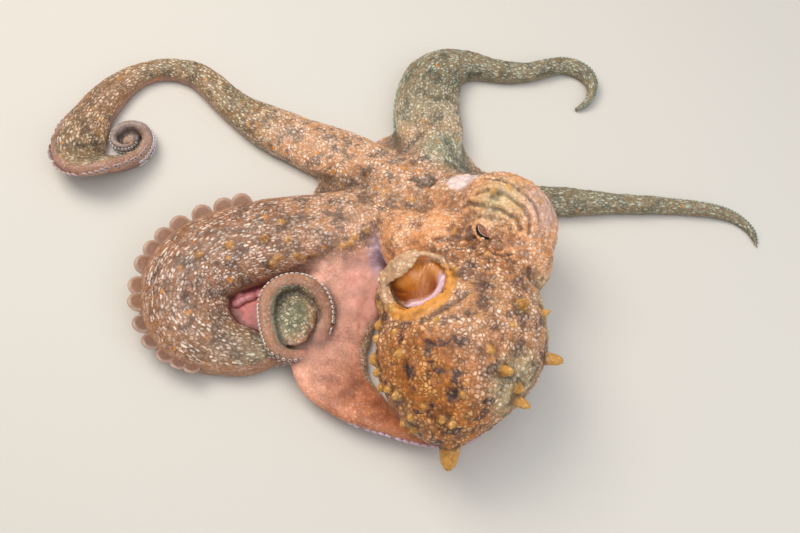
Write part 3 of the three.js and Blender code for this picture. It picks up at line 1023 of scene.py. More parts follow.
class Skins(Enum):
    """The tints of the animal's regions. CROWN_TEAL, TEAL and TEAL_SIDE are painted shade: the greenish cast
    of dim ambient light on skin that is brown and cream in any light.
    """

    MANTLE = Tint("#a25f2e", "#ffd2a8", "#3c2229", net=1, blotch=1, dots=0.3)
    MANTLE_PALE = Tint("#c08858", "#ffe4d0", "#5c3f3a", net=1, blotch=0.7, dots=0.3)
    MANTLE_LOW = Tint("#a8601f", "#efb468", "#351f28", net=0.85, blotch=1, dots=0.4)
    MANTLE_GREEN = Tint("#b5a276", "#f8e8ca", "#4a4b3a", net=0.85, blotch=0.75, dots=0.2)
    HEAD = Tint("#eea268", "#ffe0c4", "#8a5844", net=0.8, blotch=0.4, dots=0.35)
    HEAD_TOP = Tint("#c4b083", "#f2e2c2", "#857955", net=0.5, blotch=0.5, dots=0.15)
    HEAD_ROSE = Tint("#dcae95", "#ffe4da", "#a67c68", net=0.5, blotch=0.4, dots=0.2)
    PALE_PATCH = Tint("#f8dad3", "#fff0ee", "#d3aca0", net=0.4)
    CROWN = Tint("#c48a5a", "#ffe8d6", "#5c4d42", net=0.95, dash=0.45, blotch=0.8, dots=0.9)
    # painted shade: the greenish cast of dim ambient light on brown and cream crown skin
    CROWN_TEAL = Tint("#848a6e", "#e8e4d0", "#4a5c4c", net=0.55, dash=0.7, blotch=0.6, dots=0.4)
    OLIVE = Tint("#4c4e34", "#d9d2b0", "#2f3324", dash=1, blotch=0.5, dots=0.25)
    BROWN = Tint("#5f3f28", "#dcbc94", "#38281e", dash=1, blotch=0.3, dots=0.1)
    MAUVE = Tint("#836460", "#a98b86", "#574444", dash=0.1)
    SLATE = Tint("#66707a", "#93a0a4", "#454b54", dash=0.15)
    RUST = Tint("#6f4029", "#ffe8d8", "#3d2c26", dash=1, blotch=0.55, dots=0.6)
    RUST_SIDE = Tint("#84604e", "#b18f7d", "#54413a", dash=0.25)
    DUSK = Tint("#4f4638", "#f0e2cc", "#2c2a22", dash=1, blotch=0.4)
    UMBER = Tint("#855d50", "#a1796c", "#5c443c", dash=0.15)
    TURQUOISE = Tint("#5d8a7a", "#86ae9c", "#42645a", dash=0.2)
    # painted shade: the greenish cast of dim ambient light on the brown and cream backs and sides of arms
    TEAL = Tint("#30594a", "#93b59f", "#213c34", dash=1, blotch=0.4, dots=0.1)
    TEAL_SIDE = Tint("#3d6757", "#6f9583", "#2b4a3f", dash=0.2)
    SALMON = Tint("#ffbba8", "#ffcdc0", "#e08c78", blotch=0.4)
    STRIP = Tint("#8f8064", "#f3e8d4", "#564a34", net=0.4, dash=1)
    EMBER = Tint("#be6a48", "#e69c7c", "#9c5238", blotch=0.35)
    MADDER = Tint("#cc7670", "#e8a49c", "#934c4e", blotch=0.4)
    LILAC = Tint("#f0cfdc", "#fbe6ef", "#b894a2")
    LIP = Tint("#dc9440", "#f0bd7c", "#a05f2c")
    FLAP = Tint("#c09570", "#f0d8b4", "#7d5a44", net=0.7, blotch=0.4)
    PAPILLA = Tint("#c28a3e", "#ecc07c", "#7d562c", net=0.6, blotch=0.6)
    PALM = Tint("#6d6849", "#d9cdae", "#3f3b29", net=0.8, blotch=0.7)


@dataclass(frozen=True)
class Patch:
    """A place where the skin takes another tint: a soft-edged ellipsoid of space, in mm."""

    centre: Point
    half_sizes: Point
    skin: Skins
    strength: float = 1.0
    soft: float = 0.6

    def share(self, points: np.ndarray) -> np.ndarray:
        """Return how much of the patch's tint each point takes."""
        away = np.linalg.norm((points - np.array(self.centre)) / np.array(self.half_sizes), axis=1)
        return self.strength * ramp(away, 1.0, 1.0 - self.soft)


@dataclass(frozen=True)
class ArmTints:
    """An arm's tints: on its back by distance from the root, and on its side and sole."""

    back: tuple[tuple[float, Skins], ...]
    side: tuple[tuple[float, Skins], ...]

    @staticmethod
    def read(rows: tuple[tuple[float, Skins], ...], distance: np.ndarray) -> np.ndarray:
        """Mix the tints between the stated distances.

        Args:
            rows: (distance, tint) rows.
            distance: where to read them, in mm.

        Returns:
            One row of tint numbers for each distance.
        """
        places = [row[0] for row in rows]
        table = np.array([row[1].value.row() for row in rows])
        return np.column_stack([np.interp(distance, places, column) for column in table.T])


ARM_TINTS = {
    "left_1": ArmTints(((0, Skins.CROWN), (90, Skins.CROWN), (150, Skins.OLIVE), (250, Skins.OLIVE), (330,
        Skins.BROWN), (400, Skins.OLIVE), (455, Skins.OLIVE), (480, Skins.SLATE)),
        ((0, Skins.CROWN), (120, Skins.OLIVE), (230, Skins.MAUVE), (440, Skins.MAUVE), (480, Skins.SLATE))),
    "left_2": ArmTints(((0, Skins.CROWN), (70, Skins.CROWN), (130, Skins.RUST), (240, Skins.RUST), (290,
        Skins.DUSK), (325, Skins.TEAL), (350, Skins.DUSK), (390, Skins.OLIVE), (450, Skins.TURQUOISE)),
        ((0, Skins.CROWN), (120, Skins.RUST_SIDE), (290, Skins.RUST_SIDE), (340, Skins.UMBER))),
    "left_3": ArmTints(((0, Skins.CROWN), (50, Skins.STRIP)),
        ((0, Skins.MADDER), (30, Skins.SALMON), (115, Skins.SALMON), (160, Skins.EMBER))),
    "left_4": ArmTints(((0, Skins.BROWN),),
        ((0, Skins.MAUVE),)),
    "right_4": ArmTints(((0, Skins.OLIVE),),
        ((0, Skins.MAUVE),)),
    # the teal of the right arms is painted shade, the greenish cast of dim ambient light on their brown and
    # cream skin
    "right_3": ArmTints(((0, Skins.CROWN_TEAL), (70, Skins.TEAL)),
        ((0, Skins.TEAL_SIDE),)),
    "right_2": ArmTints(((0, Skins.CROWN_TEAL), (60, Skins.TEAL)),
        ((0, Skins.TEAL_SIDE),)),
    "right_1": ArmTints(((0, Skins.CROWN), (55, Skins.CROWN_TEAL), (95, Skins.TEAL)),
        ((0, Skins.TEAL_SIDE),)),
}

PATCHES = (
    Patch((45, -80, 104), (46, 46, 40), Skins.MANTLE_PALE, 0.85),
    Patch((90, -80, 88), (40, 40, 40), Skins.MANTLE_PALE, 0.9),
    Patch((112, -70, 50), (34, 44, 40), Skins.MANTLE_GREEN, 0.9),
    Patch((84, -140, 84), (34, 40, 40), Skins.MANTLE_GREEN, 0.75),
    Patch((8, -130, 90), (50, 52, 60), Skins.MANTLE_LOW, 0.9),
    Patch((40, -165, 80), (36, 30, 50), Skins.MANTLE_LOW, 0.8),
    Patch((74, 8, 90), (36, 30, 26), Skins.HEAD_TOP, 0.8, 0.9),
    Patch((106, 4, 84), (22, 24, 26), Skins.HEAD_ROSE, 0.95),
    Patch((49, 44, 62), (14, 15, 26), Skins.PALE_PATCH, 1.0, 0.35),
    Patch((62, 49, 58), (14, 14, 26), Skins.PALE_PATCH, 1.0, 0.35),
    # painted shade: the greenish cast of dim ambient light on the crown by the right arms
    Patch((40, 92, 30), (34, 34, 40), Skins.CROWN_TEAL, 0.8),
    Patch((74, 62, 40), (24, 24, 30), Skins.CROWN_TEAL, 0.6),
    Patch((-99, -36, 3), (52, 36, 14), Skins.MADDER, 1.0, 0.3),
    Patch((-48, -18, 6), (40, 36, 15), Skins.MADDER, 1.0, 0.4),
    Patch((-26, -26, 16), (26, 42, 22), Skins.SALMON, 1.0, 0.5),
    Patch((-17, -2, 26), (12, 30, 22), Skins.LILAC, 1.0, 0.7),
    Patch((-81, -59, 29), (17, 24, 9), Skins.PALM, 1.0, 0.4),
)


@dataclass
class Survey:
    """What lies under each point of the skin.

    Attributes:
        points: the points, in mm.
        weight: for each form, its share of each point.
        grain: each point's (distance along, way round) on its nearest arm, in mm, and a number for the arm.
        back: how far each point lies on that arm's patterned back.
        clear: how plainly one arm is nearest, from 0 where two are equally near.
        papilla: how far each point lies on a papilla.
        distances: for each arm, how far along it each point lies.
        backs: for each arm, how far each point lies on its patterned back.
    """

    points: np.ndarray
    weight: dict[str, np.ndarray]
    grain: np.ndarray
    back: np.ndarray
    clear: np.ndarray
    papilla: np.ndarray
    distances: dict[str, np.ndarray]
    backs: dict[str, np.ndarray]


@dataclass(frozen=True)
class Fold:
    """A groove of the skin along points of its surface, with a low swelling on both sides.

    Attributes:
        points: the points, in mm.
        depth: how deep the groove is, in mm.
        width: its half width, in mm.
        swell: the swellings' height over the groove's depth.
        swell_out: how far they lie from its middle, over its width.
    """

    points: tuple[Point, ...]
    depth: float = 1.1
    width: float = 1.3
    swell: float = 0.45
    swell_out: float = 2.4

    def height(self, points: np.ndarray) -> np.ndarray:
        """Work out how far the groove lifts the skin.

        Args:
            points: points of the skin, in mm.

        Returns:
            The lift of each point, in mm; it is below zero in the groove.
        """
        away = np.full(len(points), np.inf)
        for low, high in zip(np.array(self.points, float), np.array(self.points[1:], float)):
            line = high - low
            share = np.clip((points - low) @ line / (line @ line), 0, 1)
            away = np.minimum(away, np.linalg.norm(points - low - share[:, None] * line, axis=1))
        swelling = self.swell * np.exp(-((away / self.width - self.swell_out) ** 2))
        return self.depth * (swelling - np.exp(-((away / self.width) ** 2)))


FOLDS = (
    Fold(((48, 8, 65), (49, 12, 73), (53, 11, 81), (63, 3, 89), (74, -2, 92), (85, -10, 91), (89, -16, 86)),
          1.5, 1.5),
    Fold(((56, 16, 85), (69, 16, 92), (80, 8, 94), (91, -1, 93), (95, -9, 90), (94, -18, 85)), 1.5, 1.6),
    Fold(((62, 30, 84), (76, 25, 92), (90, 14, 95), (99, 4, 92), (102, -8, 86)), 1.1, 1.4),
    Fold(((64, -19, 78), (62, -27, 82), (67, -36, 87), (79, -33, 82)), 2.2, 2.0),
    Fold(((84, -34, 82), (90, -39, 80), (86, -57, 88)), 1.4, 1.6),
    Fold(((95, -42, 76), (99, -56, 76), (103, -77, 78), (105, -96, 78)), 1.6, 2.0),
    Fold(((24, -18, 76), (35, -18, 78), (46, -18, 78), (56, -16, 74)), 1.3, 1.5),
    Fold(((26, -27, 78), (38, -30, 83), (50, -32, 86)), 1.2, 1.4),
    Fold(((30, -9, 78), (42, -10, 80), (52, -9, 76)), 1.0, 1.3),
    Fold(((68, -132, 98), (75, -150, 88), (79, -165, 72)), 1.5, 1.8),
    Fold(((84, -118, 92), (92, -134, 80), (93, -150, 66)), 1.4, 1.7),
    Fold(((98, -104, 80), (104, -118, 68), (102, -136, 58)), 1.3, 1.7),
    Fold(((14, -94, 98), (26, -88, 102), (38, -81, 103), (50, -72, 103)), 1.3, 1.8),
    Fold(((88, -30, 40), (100, -36, 52), (108, -44, 62)), 1.2, 1.8),
)

WARTS = (
    (-108, 5, 38), (-89, 5, 35), (-54, 4, 27), (-61, -2, 23), (-77, -5, 26), (-97, -8, 31), (-101, -13, 30),
    (-158, -8, 34), (-135, 0, 36), (-10, 26, 42), (9, 37, 44), (-13, 48, 39), (-95, 20, 38), (8, 16, 38),
    (-36, 8, 34), (-26, 13, 37), (69, 14, 93), (81, 16, 94), (41, -11, 80), (-40, 4, 32), (-46, 3, 30),
    (-68, -2, 25), (-83, -6, 30), (103, 8, 88), (63, -38, 92),
)  # low orange papillae of the arms' roots and head, mm


@dataclass(frozen=True)
class Anatomy:
    """All the forms of the animal, and the sections of its arms.

    Attributes:
        crown: the crown.
        head: the head.
        mantle: the mantle.
        aperture: the gill opening.
        sections: the sections of each arm, by its name.
        blend: how far the tints of two forms run into each other, mm.
        crown_gap: how far off the crown is taken to be wherever it is asked for, mm.
        far: how near an arm a point has to be to be read, mm.
        block: how many points are read at once.
        bag: the size at which the mantle is taken, over its own.
        inner_band: the height share, on the inner side, where an arm's patterned back ends.
        band_soft: how softly it ends, as a share of the height.
        bands_from: the distances from the root between which an arm's plain sides set in, mm.
        turned_edge: the height shares between which the pattern of a turned arm's edge sets in.
        between_arms: the difference of two arms' gaps at which markings are gone, and whole, mm.
        arm_stride: what sets the grain of one arm apart from the next one's.
        papilla_ring: how far from its axis a papilla's tint ends, and is whole, over its radius.
        papilla_span: how far below its foot the tint sets in, over its radius, and how far up it is whole
            and ends, over its length.
        wart_share: how much of the papillae's tint a low papilla takes.
        wart_edge: the distances from its middle at which its tint ends, and is whole, mm.
    """

    crown: Crown = field(default_factory=Crown)
    head: Head = field(default_factory=Head)
    mantle: Mantle = field(default_factory=Mantle)
    aperture: Aperture = field(default_factory=Aperture)
    sections: dict[str, Sections] = field(default_factory=lambda: {arm.name: arm.sections() for arm in ARMS})

    blend: float = 4.5
    crown_gap: float = 3.0
    far: float = 40.0
    block: int = 4000
    bag: float = 1.05
    inner_band: float = 0.1
    band_soft: float = 0.12
    bands_from: tuple[float, float] = (60, 130)
    turned_edge: tuple[float, float] = (0.72, 0.5)
    between_arms: tuple[float, float] = (0.5, 7)
    arm_stride: float = 37.0
    papilla_ring: tuple[float, float] = (1.9, 0.9)
    papilla_span: Point = (1.6, 0.3, 1.5)
    wart_share: float = 0.75
    wart_edge: tuple[float, float] = (4.8, 1.6)

    @staticmethod
    def ellipsoid_gap(points: np.ndarray, place: Matrix, half_sizes: Point) -> np.ndarray:
        """Measure how far points lie outside an ellipsoid, along the lines to its centre.

        Args:
            points: the points, in mm.
            place: the ellipsoid's frame.
            half_sizes: its half sizes, in mm.

        Returns:
            The gap of each point, in mm.
        """
        local = seen_from(place, points)
        reach = np.linalg.norm(local / np.array(half_sizes), axis=1).clip(1e-6)
        return np.linalg.norm(local, axis=1) * (1 - 1 / reach)

    def arm_reading(self, points: np.ndarray, cut: Sections) -> tuple[np.ndarray, np.ndarray, np.ndarray]:
        """Find where points lie on one arm.

        Args:
            points: the points, in mm.
            cut: the arm's sections.

        Returns:
            The gap to the arm's surface, the distance along it, and the angle round it from its left, its
            back at a quarter turn.
        """
        gap, distance, angle = (np.full(len(points), value) for value in (self.far, 0.0, 0.0))
        line = np.column_stack([cut.x, cut.y])
        low, high = line.min(0) - self.far, line.max(0) + self.far
        near = np.all((points[:, :2] > low) & (points[:, :2] < high), axis=1)
        ch, sh, cr, sr = np.cos(cut.heading), np.sin(cut.heading), np.cos(cut.roll), np.sin(cut.roll)
        for some in np.array_split(np.flatnonzero(near), max(1, int(near.sum()) // self.block)):
            dx, dy = (points[some, None, i] - line[None, :, i] for i in (0, 1))
            dz = points[some, None, 2] - cut.middle
            ahead, wide = dx * ch + dy * sh, dx * sh - dy * ch
            across, up = (wide * cr - dz * sr) / cut.half, (wide * sr + dz * cr) / (cut.height / 2)
            outside = (np.hypot(across, up) - 1) * np.sqrt(cut.half * cut.height / 2) + np.abs(ahead)
            best = outside.argmin(1)
            row = np.arange(len(some))
            gap[some] = outside[row, best]
            distance[some] = cut.distance[best] + ahead[row, best]
            angle[some] = np.arctan2(up[row, best], across[row, best])
        return gap, distance, angle

    def form_gaps(self, points: np.ndarray) -> dict[str, np.ndarray]:
        """Measure how far points lie outside the body's forms.

        Args:
            points: the points, in mm.

        Returns:
            The gap of each point, in mm, for mantle, head and crown.
        """
        mantle, head = self.mantle, self.head
        bag = (mantle.half_width * self.bag, mantle.half_height * self.bag, mantle.axis().length / 2)
        return {
            "mantle": np.minimum(
                self.ellipsoid_gap(points, mantle.frame(), bag),
                self.ellipsoid_gap(points, Matrix.Translation(mantle.lobe_centre), mantle.lobe_sizes)),
            "head": np.minimum.reduce([
                self.ellipsoid_gap(points, head.frame(), head.half_sizes),
                *(self.ellipsoid_gap(points, Matrix.Translation(centre), (radius,) * 3)
                  for centre, radius in (*head.necks, *head.bulges()))]),
            "crown": np.full(len(points), self.crown_gap)}

    def patterned_back(self, arm: Route, distance: np.ndarray, angle: np.ndarray) -> np.ndarray:
        """Work out how far points lie on an arm's patterned back.

        Args:
            arm: the arm.
            distance: how far along it each point lies, in mm.
            angle: where round it each point lies, its back at a quarter turn.

        Returns:
            The share of each point, from 0 on the side and sole to 1 on the back.
        """
        outer = np.cos(angle) * -arm.side > 0
        if arm.turned:
            return np.where(outer, 0, ramp(np.sin(angle), *self.turned_edge))
        level = np.where(outer, arm.band, self.inner_band) * ramp(distance, *self.bands_from)
        return ramp(np.sin(angle), level - self.band_soft, level + self.band_soft)

    def papilla_share(self, points: np.ndarray) -> np.ndarray:
        """Work out how far points lie on a papilla.

        Args:
            points: the points, in mm.

        Returns:
            The share of each point, from 0 to 1.
        """
        found = np.zeros(len(points))
        for one in self.mantle.papillae:
            local = seen_from(self.mantle.foot(one), points)
            rim = np.linalg.norm(local[:, :2], axis=1)
            (plain, whole), (foot, up, top) = self.papilla_ring, self.papilla_span
            share = (ramp(rim, one.radius * plain, one.radius * whole)
                     * ramp(local[:, 2], -one.radius * foot, one.length * up))
            found = np.maximum(found, np.where(local[:, 2] < one.length * top, share, 0))
        for place in WARTS:
            away = np.linalg.norm(points - np.array(place), axis=1)
            found = np.maximum(found, self.wart_share * ramp(away, *self.wart_edge))
        return found

    def survey(self, points: np.ndarray) -> Survey:
        """Find what lies under each point of the skin.

        Args:
            points: the points, in mm of the layout.

        Returns:
            The survey.
        """
        readings = {arm.name: self.arm_reading(points, self.sections[arm.name]) for arm in ARMS}
        gaps = {name: reading[0] for name, reading in readings.items()} | self.form_gaps(points)
        raw = {name: np.exp(-np.maximum(gap, 0) / self.blend) for name, gap in gaps.items()}
        total = sum(raw.values())
        weight = {name: value / total for name, value in raw.items()}

        table = np.column_stack([gaps[arm.name] for arm in ARMS])
        nearest = table.argmin(1)
        ordered = np.sort(table, axis=1)
        clear = ramp(ordered[:, 1] - ordered[:, 0], *self.between_arms)
        grain = np.zeros((len(points), 3))
        back = np.zeros(len(points))
        backs = {}
        for i, arm in enumerate(ARMS):
            _, distance, angle = readings[arm.name]
            cut = self.sections[arm.name]
            girth = np.interp(distance, cut.distance, (cut.half + cut.height / 2) / 2)
            backs[arm.name] = self.patterned_back(arm, distance, angle)
            mine = nearest == i
            here = [distance, (angle - math.pi / 2) * girth, np.full(len(points), self.arm_stride * i)]
            grain[mine] = np.column_stack(here)[mine]
            back[mine] = backs[arm.name][mine]
        return Survey(points, weight, grain, back, clear, self.papilla_share(points),
                      {name: reading[1] for name, reading in readings.items()}, backs)


# ---------------------------------------------------------------- skin
@dataclass(frozen=True)
class Relief:
    """The skin's fine forms, with widths and heights in mm: pebbles and swellings, and ridges along the arms.

    Attributes:
        lump_width: the soft lumps all over.
        lump_height: their height on head and crown.
        lump_more: what the mantle adds to it.
        swell_width: the mantle's broad swellings.
        swell_height: their height.
        pebble_width: the rounded pebbles of the body.
        pebble_height: their height.
        pebble_drop: how far the grooves between them lie below the plain skin.
        pebble_bend: how far the lumps push their borders, over their width.
        groove: the half width of those grooves, over their width.
        ridge_length: the ridges along an arm.
        ridge_width: their width.
        ridge_height: their height.
        arm_lump: the height of the lumps on an arm.
        sole: the share of an arm's relief that its side and sole keep, and what its back adds.
        least: the share of a form below which its relief is left out.
    """

    lump_width: float = 11
    lump_height: float = 0.9
    lump_more: float = 0.8
    swell_width: float = 24
    swell_height: float = 2.2
    pebble_width: float = 5.2
    pebble_height: float = 0.95
    pebble_drop: float = 0.6
    pebble_bend: float = 0.3
    groove: float = 0.34
    ridge_length: float = 16
    ridge_width: float = 3.6
    ridge_height: float = 0.65
    arm_lump: float = 0.35
    sole: tuple[float, float] = (0.2, 0.8)
    least: float = 0.05

    def raise_skin(self, height: np.ndarray, survey: Survey) -> None:
        """Add the fine forms to the skin's heights.

        Args:
            height: the height of each point, in mm.
            survey: what lies under each point.
        """
        bag = survey.weight["mantle"]
        body = np.clip(bag + survey.weight["head"] + survey.weight["crown"], 0, 1)
        arm = 1 - body
        plain = 1 - survey.papilla
        for i, point in enumerate(survey.points):
            spot = Vector(point)
            lumps = noise.noise(spot / self.lump_width)
            if body[i] > self.least:
                swell = noise.noise(spot / self.swell_width) * bag[i] * self.swell_height
                bent = spot / self.pebble_width + Vector((lumps, 0, 0)) * self.pebble_bend
                distances = noise.voronoi(bent)[0]
                pebble = min(self.groove, distances[1] - distances[0]) / self.groove
                lump = (self.lump_height + self.lump_more * bag[i]) * lumps
                rise = self.pebble_height * pebble - self.pebble_drop + lump + swell
                height[i] += body[i] * plain[i] * rise
            if arm[i] > self.least:
                grain = Vector(survey.grain[i])
                drawn = Vector((grain.x / self.ridge_length, grain.y / self.ridge_width, grain.z))
                ridge = noise.noise(drawn)
                height[i] += (arm[i] * (self.sole[0] + self.sole[1] * survey.back[i])
                              * (self.ridge_height * ridge + self.arm_lump * lumps))


@dataclass
class Skin:
    """The one skin over head, mantle, crown and arms, with its folds, cells and colours.

    Attributes:
        layout: where it stands.
        anatomy: the forms below it.
        fine_forms: its pebbles, swellings and ridges.
        coarse: the voxel that joins the large forms, mm.
        fine: the voxel of the finished skin, mm.
        blended: the length of arm whose root is blended into the crown, mm.
        most_triangles: how many triangles it may have.
        smoothing: the rounds that soften the joins of the large forms.
        soften: how far each of those rounds goes.
        last_smoothing: the rounds that soften the fine skin, and how far each goes.
        slim: how much thinner the fine arms are than their solids, mm.
        slit: half sizes of the gap between the lids, mm.
        slit_bow: how much of its height the gap loses towards its ends.
        lid_rings: distance from the eye's axis, height and width of each ring fold, mm.
        lid_front: the distances along the axis at which the ring folds set in, and are whole, mm.
        lid_reach: the distances from the axis at which they end, and are whole, mm.
        wart: the radius of a low papilla, mm.
        web_fill: middle and half sizes of the web inside the bend of left_2, mm.
        palm: the same for the arm's back inside the coil of left_2.
        core: half sizes of the closed middle of the spiral of left_1, mm.
        hollow: the depth of a groove that takes the full painted shade, mm.
        least_mottle: the share of the fine mottling that plain skin has.
    """

    layout: Layout
    anatomy: Anatomy
    fine_forms: Relief = field(default_factory=Relief)
    coarse: float = 2.4
    fine: float = 1.35
    blended: float = 150.0
    most_triangles: int = 190_000
    smoothing: int = 20
    soften: float = 0.6
    last_smoothing: tuple[int, float] = (2, 0.5)
    slim: float = 0.15
    slit: Point = (6.9, 5.0, 4.4)
    slit_bow: float = 0.3
    lid_rings: tuple[Point, ...] = ((7.6, 0.3, 1.2), (10.4, -0.5, 1.0), (15.0, -0.9, 1.3), (19.4, -0.8, 1.4))
    lid_front: tuple[float, float] = (-6, 2)
    lid_reach: tuple[float, float] = (26, 18)
    wart: float = 2.6
    web_fill: tuple[Point, Point] = ((-98, -42, 5), (40, 25, 5))
    palm: tuple[Point, Point] = ((-81, -59, 27), (16, 23, 6.5))
    core: Point = (7.5, 7.5, 4.5)
    hollow: float = 0.35
    least_mottle: float = 0.28

    @staticmethod
    def smooth(data: bpy.types.Mesh, rounds: int, share: float) -> None:
        """Smooth a mesh.

        Args:
            data: the mesh.
            rounds: how many times to do it.
            share: how far each vertex goes towards the mean of its neighbours.
        """
        near = Neighbours.of(data)
        places = positions(data)
        for _ in range(rounds):
            places = places * (1 - share) + near.mean(places) * share
        move_to(data, places)

    def large_forms(self) -> bpy.types.Object:
        """Join the body and the arm roots into one smooth closed form, its gill opening cut.

        Returns:
            The form, in mm of the layout.
        """
        mesh = bmesh.new()
        self.anatomy.crown.add(mesh)
        self.anatomy.head.add(mesh)
        self.anatomy.mantle.add(mesh)
        for cut in self.anatomy.sections.values():
            add_arm(mesh, cut, cut.at(self.blended))
        made = settle(object_of("forms", mesh), "REMESH", mode="VOXEL", voxel_size=self.coarse)
        self.smooth(made.data, self.smoothing, self.soften)
        cutter = bmesh.new()
        self.anatomy.aperture.add_bowl(cutter)
        return self.carve(made, object_of("bowl", cutter))

    @staticmethod
    def carve(made: bpy.types.Object, cutter: bpy.types.Object) -> bpy.types.Object:
        """Cut one closed form out of another.

        Args:
            made: the form that stays.
            cutter: the form cut out of it, which is removed.

        Returns:
            The form that stays.
        """
        settle(made, "BOOLEAN", operation="DIFFERENCE", solver="MANIFOLD", object=cutter)
        remove(cutter)
        return made

    def closed_skin(self) -> bpy.types.Object:
        """Join the large forms with the arms, lip, lids and papillae into one fine closed skin.

        Returns:
            The skin, in mm of the layout, without its relief.
        """
        forms = self.large_forms()
        mesh = bmesh.new()
        mesh.from_mesh(forms.data)
        remove(forms)
        for cut in self.anatomy.sections.values():
            add_arm(mesh, cut, len(cut.x) - 1, self.slim)
        self.anatomy.mantle.add_papillae(mesh)
        self.anatomy.aperture.add_lip(mesh)
        spiral = self.anatomy.sections["left_1"]
        middle = (spiral.x[-1], spiral.y[-1], self.core[2])
        for centre, half_sizes in ((middle, self.core), self.palm, self.web_fill):
            add_ball(mesh, Matrix.Translation(centre) @ sized(half_sizes))
        for place in WARTS:
            add_ball(mesh, Matrix.Translation(place) @ sized((self.wart,) * 3), 12, 8)
        head = self.anatomy.head
        for side in (-1, 1):
            add_ball(mesh, Matrix.Translation(head.eye(side)) @ sized((head.lid_radius,) * 3))
        made = settle(object_of("skin", mesh), "REMESH", mode="VOXEL", voxel_size=self.fine)
        self.smooth(made.data, *self.last_smoothing)
        return made

    def relief(self, survey: Survey) -> np.ndarray:
        """Work out how far each point of the skin stands out.

        Args:
            survey: what lies under each point.

        Returns:
            The height of each point, in mm.
        """
        folds = sum(fold.height(survey.points) for fold in FOLDS)
        height = folds * (1 - survey.papilla) + self.lid_folds(survey.points)
        self.fine_forms.raise_skin(height, survey)
        return height

    def lid_folds(self, points: np.ndarray) -> np.ndarray:
        """Work out the height of the ring folds round both eyes.

        Args:
            points: points of the skin, in mm.

        Returns:
            The height at each point, in mm.
        """
        head = self.anatomy.head
        height = np.zeros(len(points))
        for side in (-1, 1):
            eye = np.array(head.eye(side))
            out = np.array(head.eye(side, head.eye_out + 1)) - eye
            off = points - eye
            ahead = off @ out
            rim = np.linalg.norm(off - ahead[:, None] * out, axis=1)
            rings = sum(depth * np.exp(-(((rim - at) / wide) ** 2)) for at, depth, wide in self.lid_rings)
            height += rings * ramp(ahead, *self.lid_front) * ramp(rim, *self.lid_reach)
        return height

    def cut_lids(self, made: bpy.types.Object) -> None:
        """Open the slit between the lids of both eyes.

        Args:
            made: the skin, in mm of the layout.
        """
        head = self.anatomy.head
        cutter = bmesh.new()
        for side in (-1, 1):
            pole = head.eye(side, head.eye_out + head.lid_radius)
            out = pole - head.eye(side)
            across = head.frame().to_3x3() @ Vector((0, 0, 1))
            place = frame_of(pole, across, out) @ Matrix.Rotation(math.radians(head.slit_turn), 4, "Z")
            wide, tall, deep = self.slit
            for vert in add_ball(cutter, Matrix.Identity(4), 32, 16):
                here = tall * (1 - self.slit_bow * vert.co.x ** 2)
                vert.co = place @ Vector((vert.co.x * wide, vert.co.y * here, vert.co.z * deep))
        self.carve(made, object_of("slit", cutter))

    def paint(self, data: bpy.types.Mesh, survey: Survey) -> None:
        """Store the skin's colours and markings on its vertices, with the depth of each groove and ridge that
        its material paints as shade and highlight.

        Args:
            data: the skin's mesh.
            survey: what lies under each of its vertices.
        """
        forms = (("mantle", Skins.MANTLE), ("head", Skins.HEAD), ("crown", Skins.CROWN))
        rows = sum(survey.weight[name][:, None] * skin.value.row() for name, skin in forms)
        for arm in ARMS:
            tints, distance = ARM_TINTS[arm.name], survey.distances[arm.name]
            back, side = (ArmTints.read(one, distance) for one in (tints.back, tints.side))
            share = survey.backs[arm.name][:, None]
            rows += survey.weight[arm.name][:, None] * (share * back + (1 - share) * side)
        layers = [*((patch.skin, patch.share(survey.points)) for patch in PATCHES),
                  *self.opening_tints(survey.points), (Skins.PAPILLA, survey.papilla)]
        for skin, share in layers:
            rows = rows * (1 - share[:, None]) + share[:, None] * skin.value.row()
        rows[:, 10] *= survey.clear

        near = Neighbours.of(data)
        places, out = positions(data) / MM, normals(data)
        # how far each point lies in a groove or on a ridge: the material paints shade into the grooves and a
        # highlight onto the ridges from it
        hollow = ((near.mean(places, 2) - places) * out).sum(1)
        painted_relief_light = np.clip(near.mean(hollow, 2) / self.hollow, -1, 1)
        mottled = np.clip(rows[:, 9] + rows[:, 10], self.least_mottle, 1)
        for i, name in enumerate(("ground", "fleck", "dark", "marks")):
            store_colour(data, name, rows[:, 3 * i:3 * i + 3])
        # touch holds the orange spots, the painted shade and highlight of grooves and ridges, and how mottled
        # the skin is
        store_colour(data, "touch", np.column_stack([rows[:, 12], 0.5 + 0.5 * painted_relief_light, mottled]))
        store_vector(data, "grain", survey.grain)

    def opening_tints(self, points: np.ndarray) -> list[tuple[Skins, np.ndarray]]:
        """Work out the tints in and round the gill opening.

        Args:
            points: points of the skin, in mm.

        Returns:
            Each tint with its share of each point.
        """
        opening = self.anatomy.aperture
        x, y, z = seen_from(opening.frame(), points).T
        reach = np.hypot(x / opening.half_width, y / opening.half_length)
        near = ramp(np.abs(z + opening.tint_level), *opening.tint_depth)
        inside = near * ramp(reach, *opening.tint_inside)
        rim = near * ramp(np.abs(reach - 1), *opening.tint_rim) * ramp(z, *opening.tint_foot)
        low = ramp(y - opening.slant * x, *opening.tint_side)
        tinted = np.maximum(rim, inside)
        return [(Skins.LIP, tinted * low), (Skins.FLAP, tinted * (1 - low))]

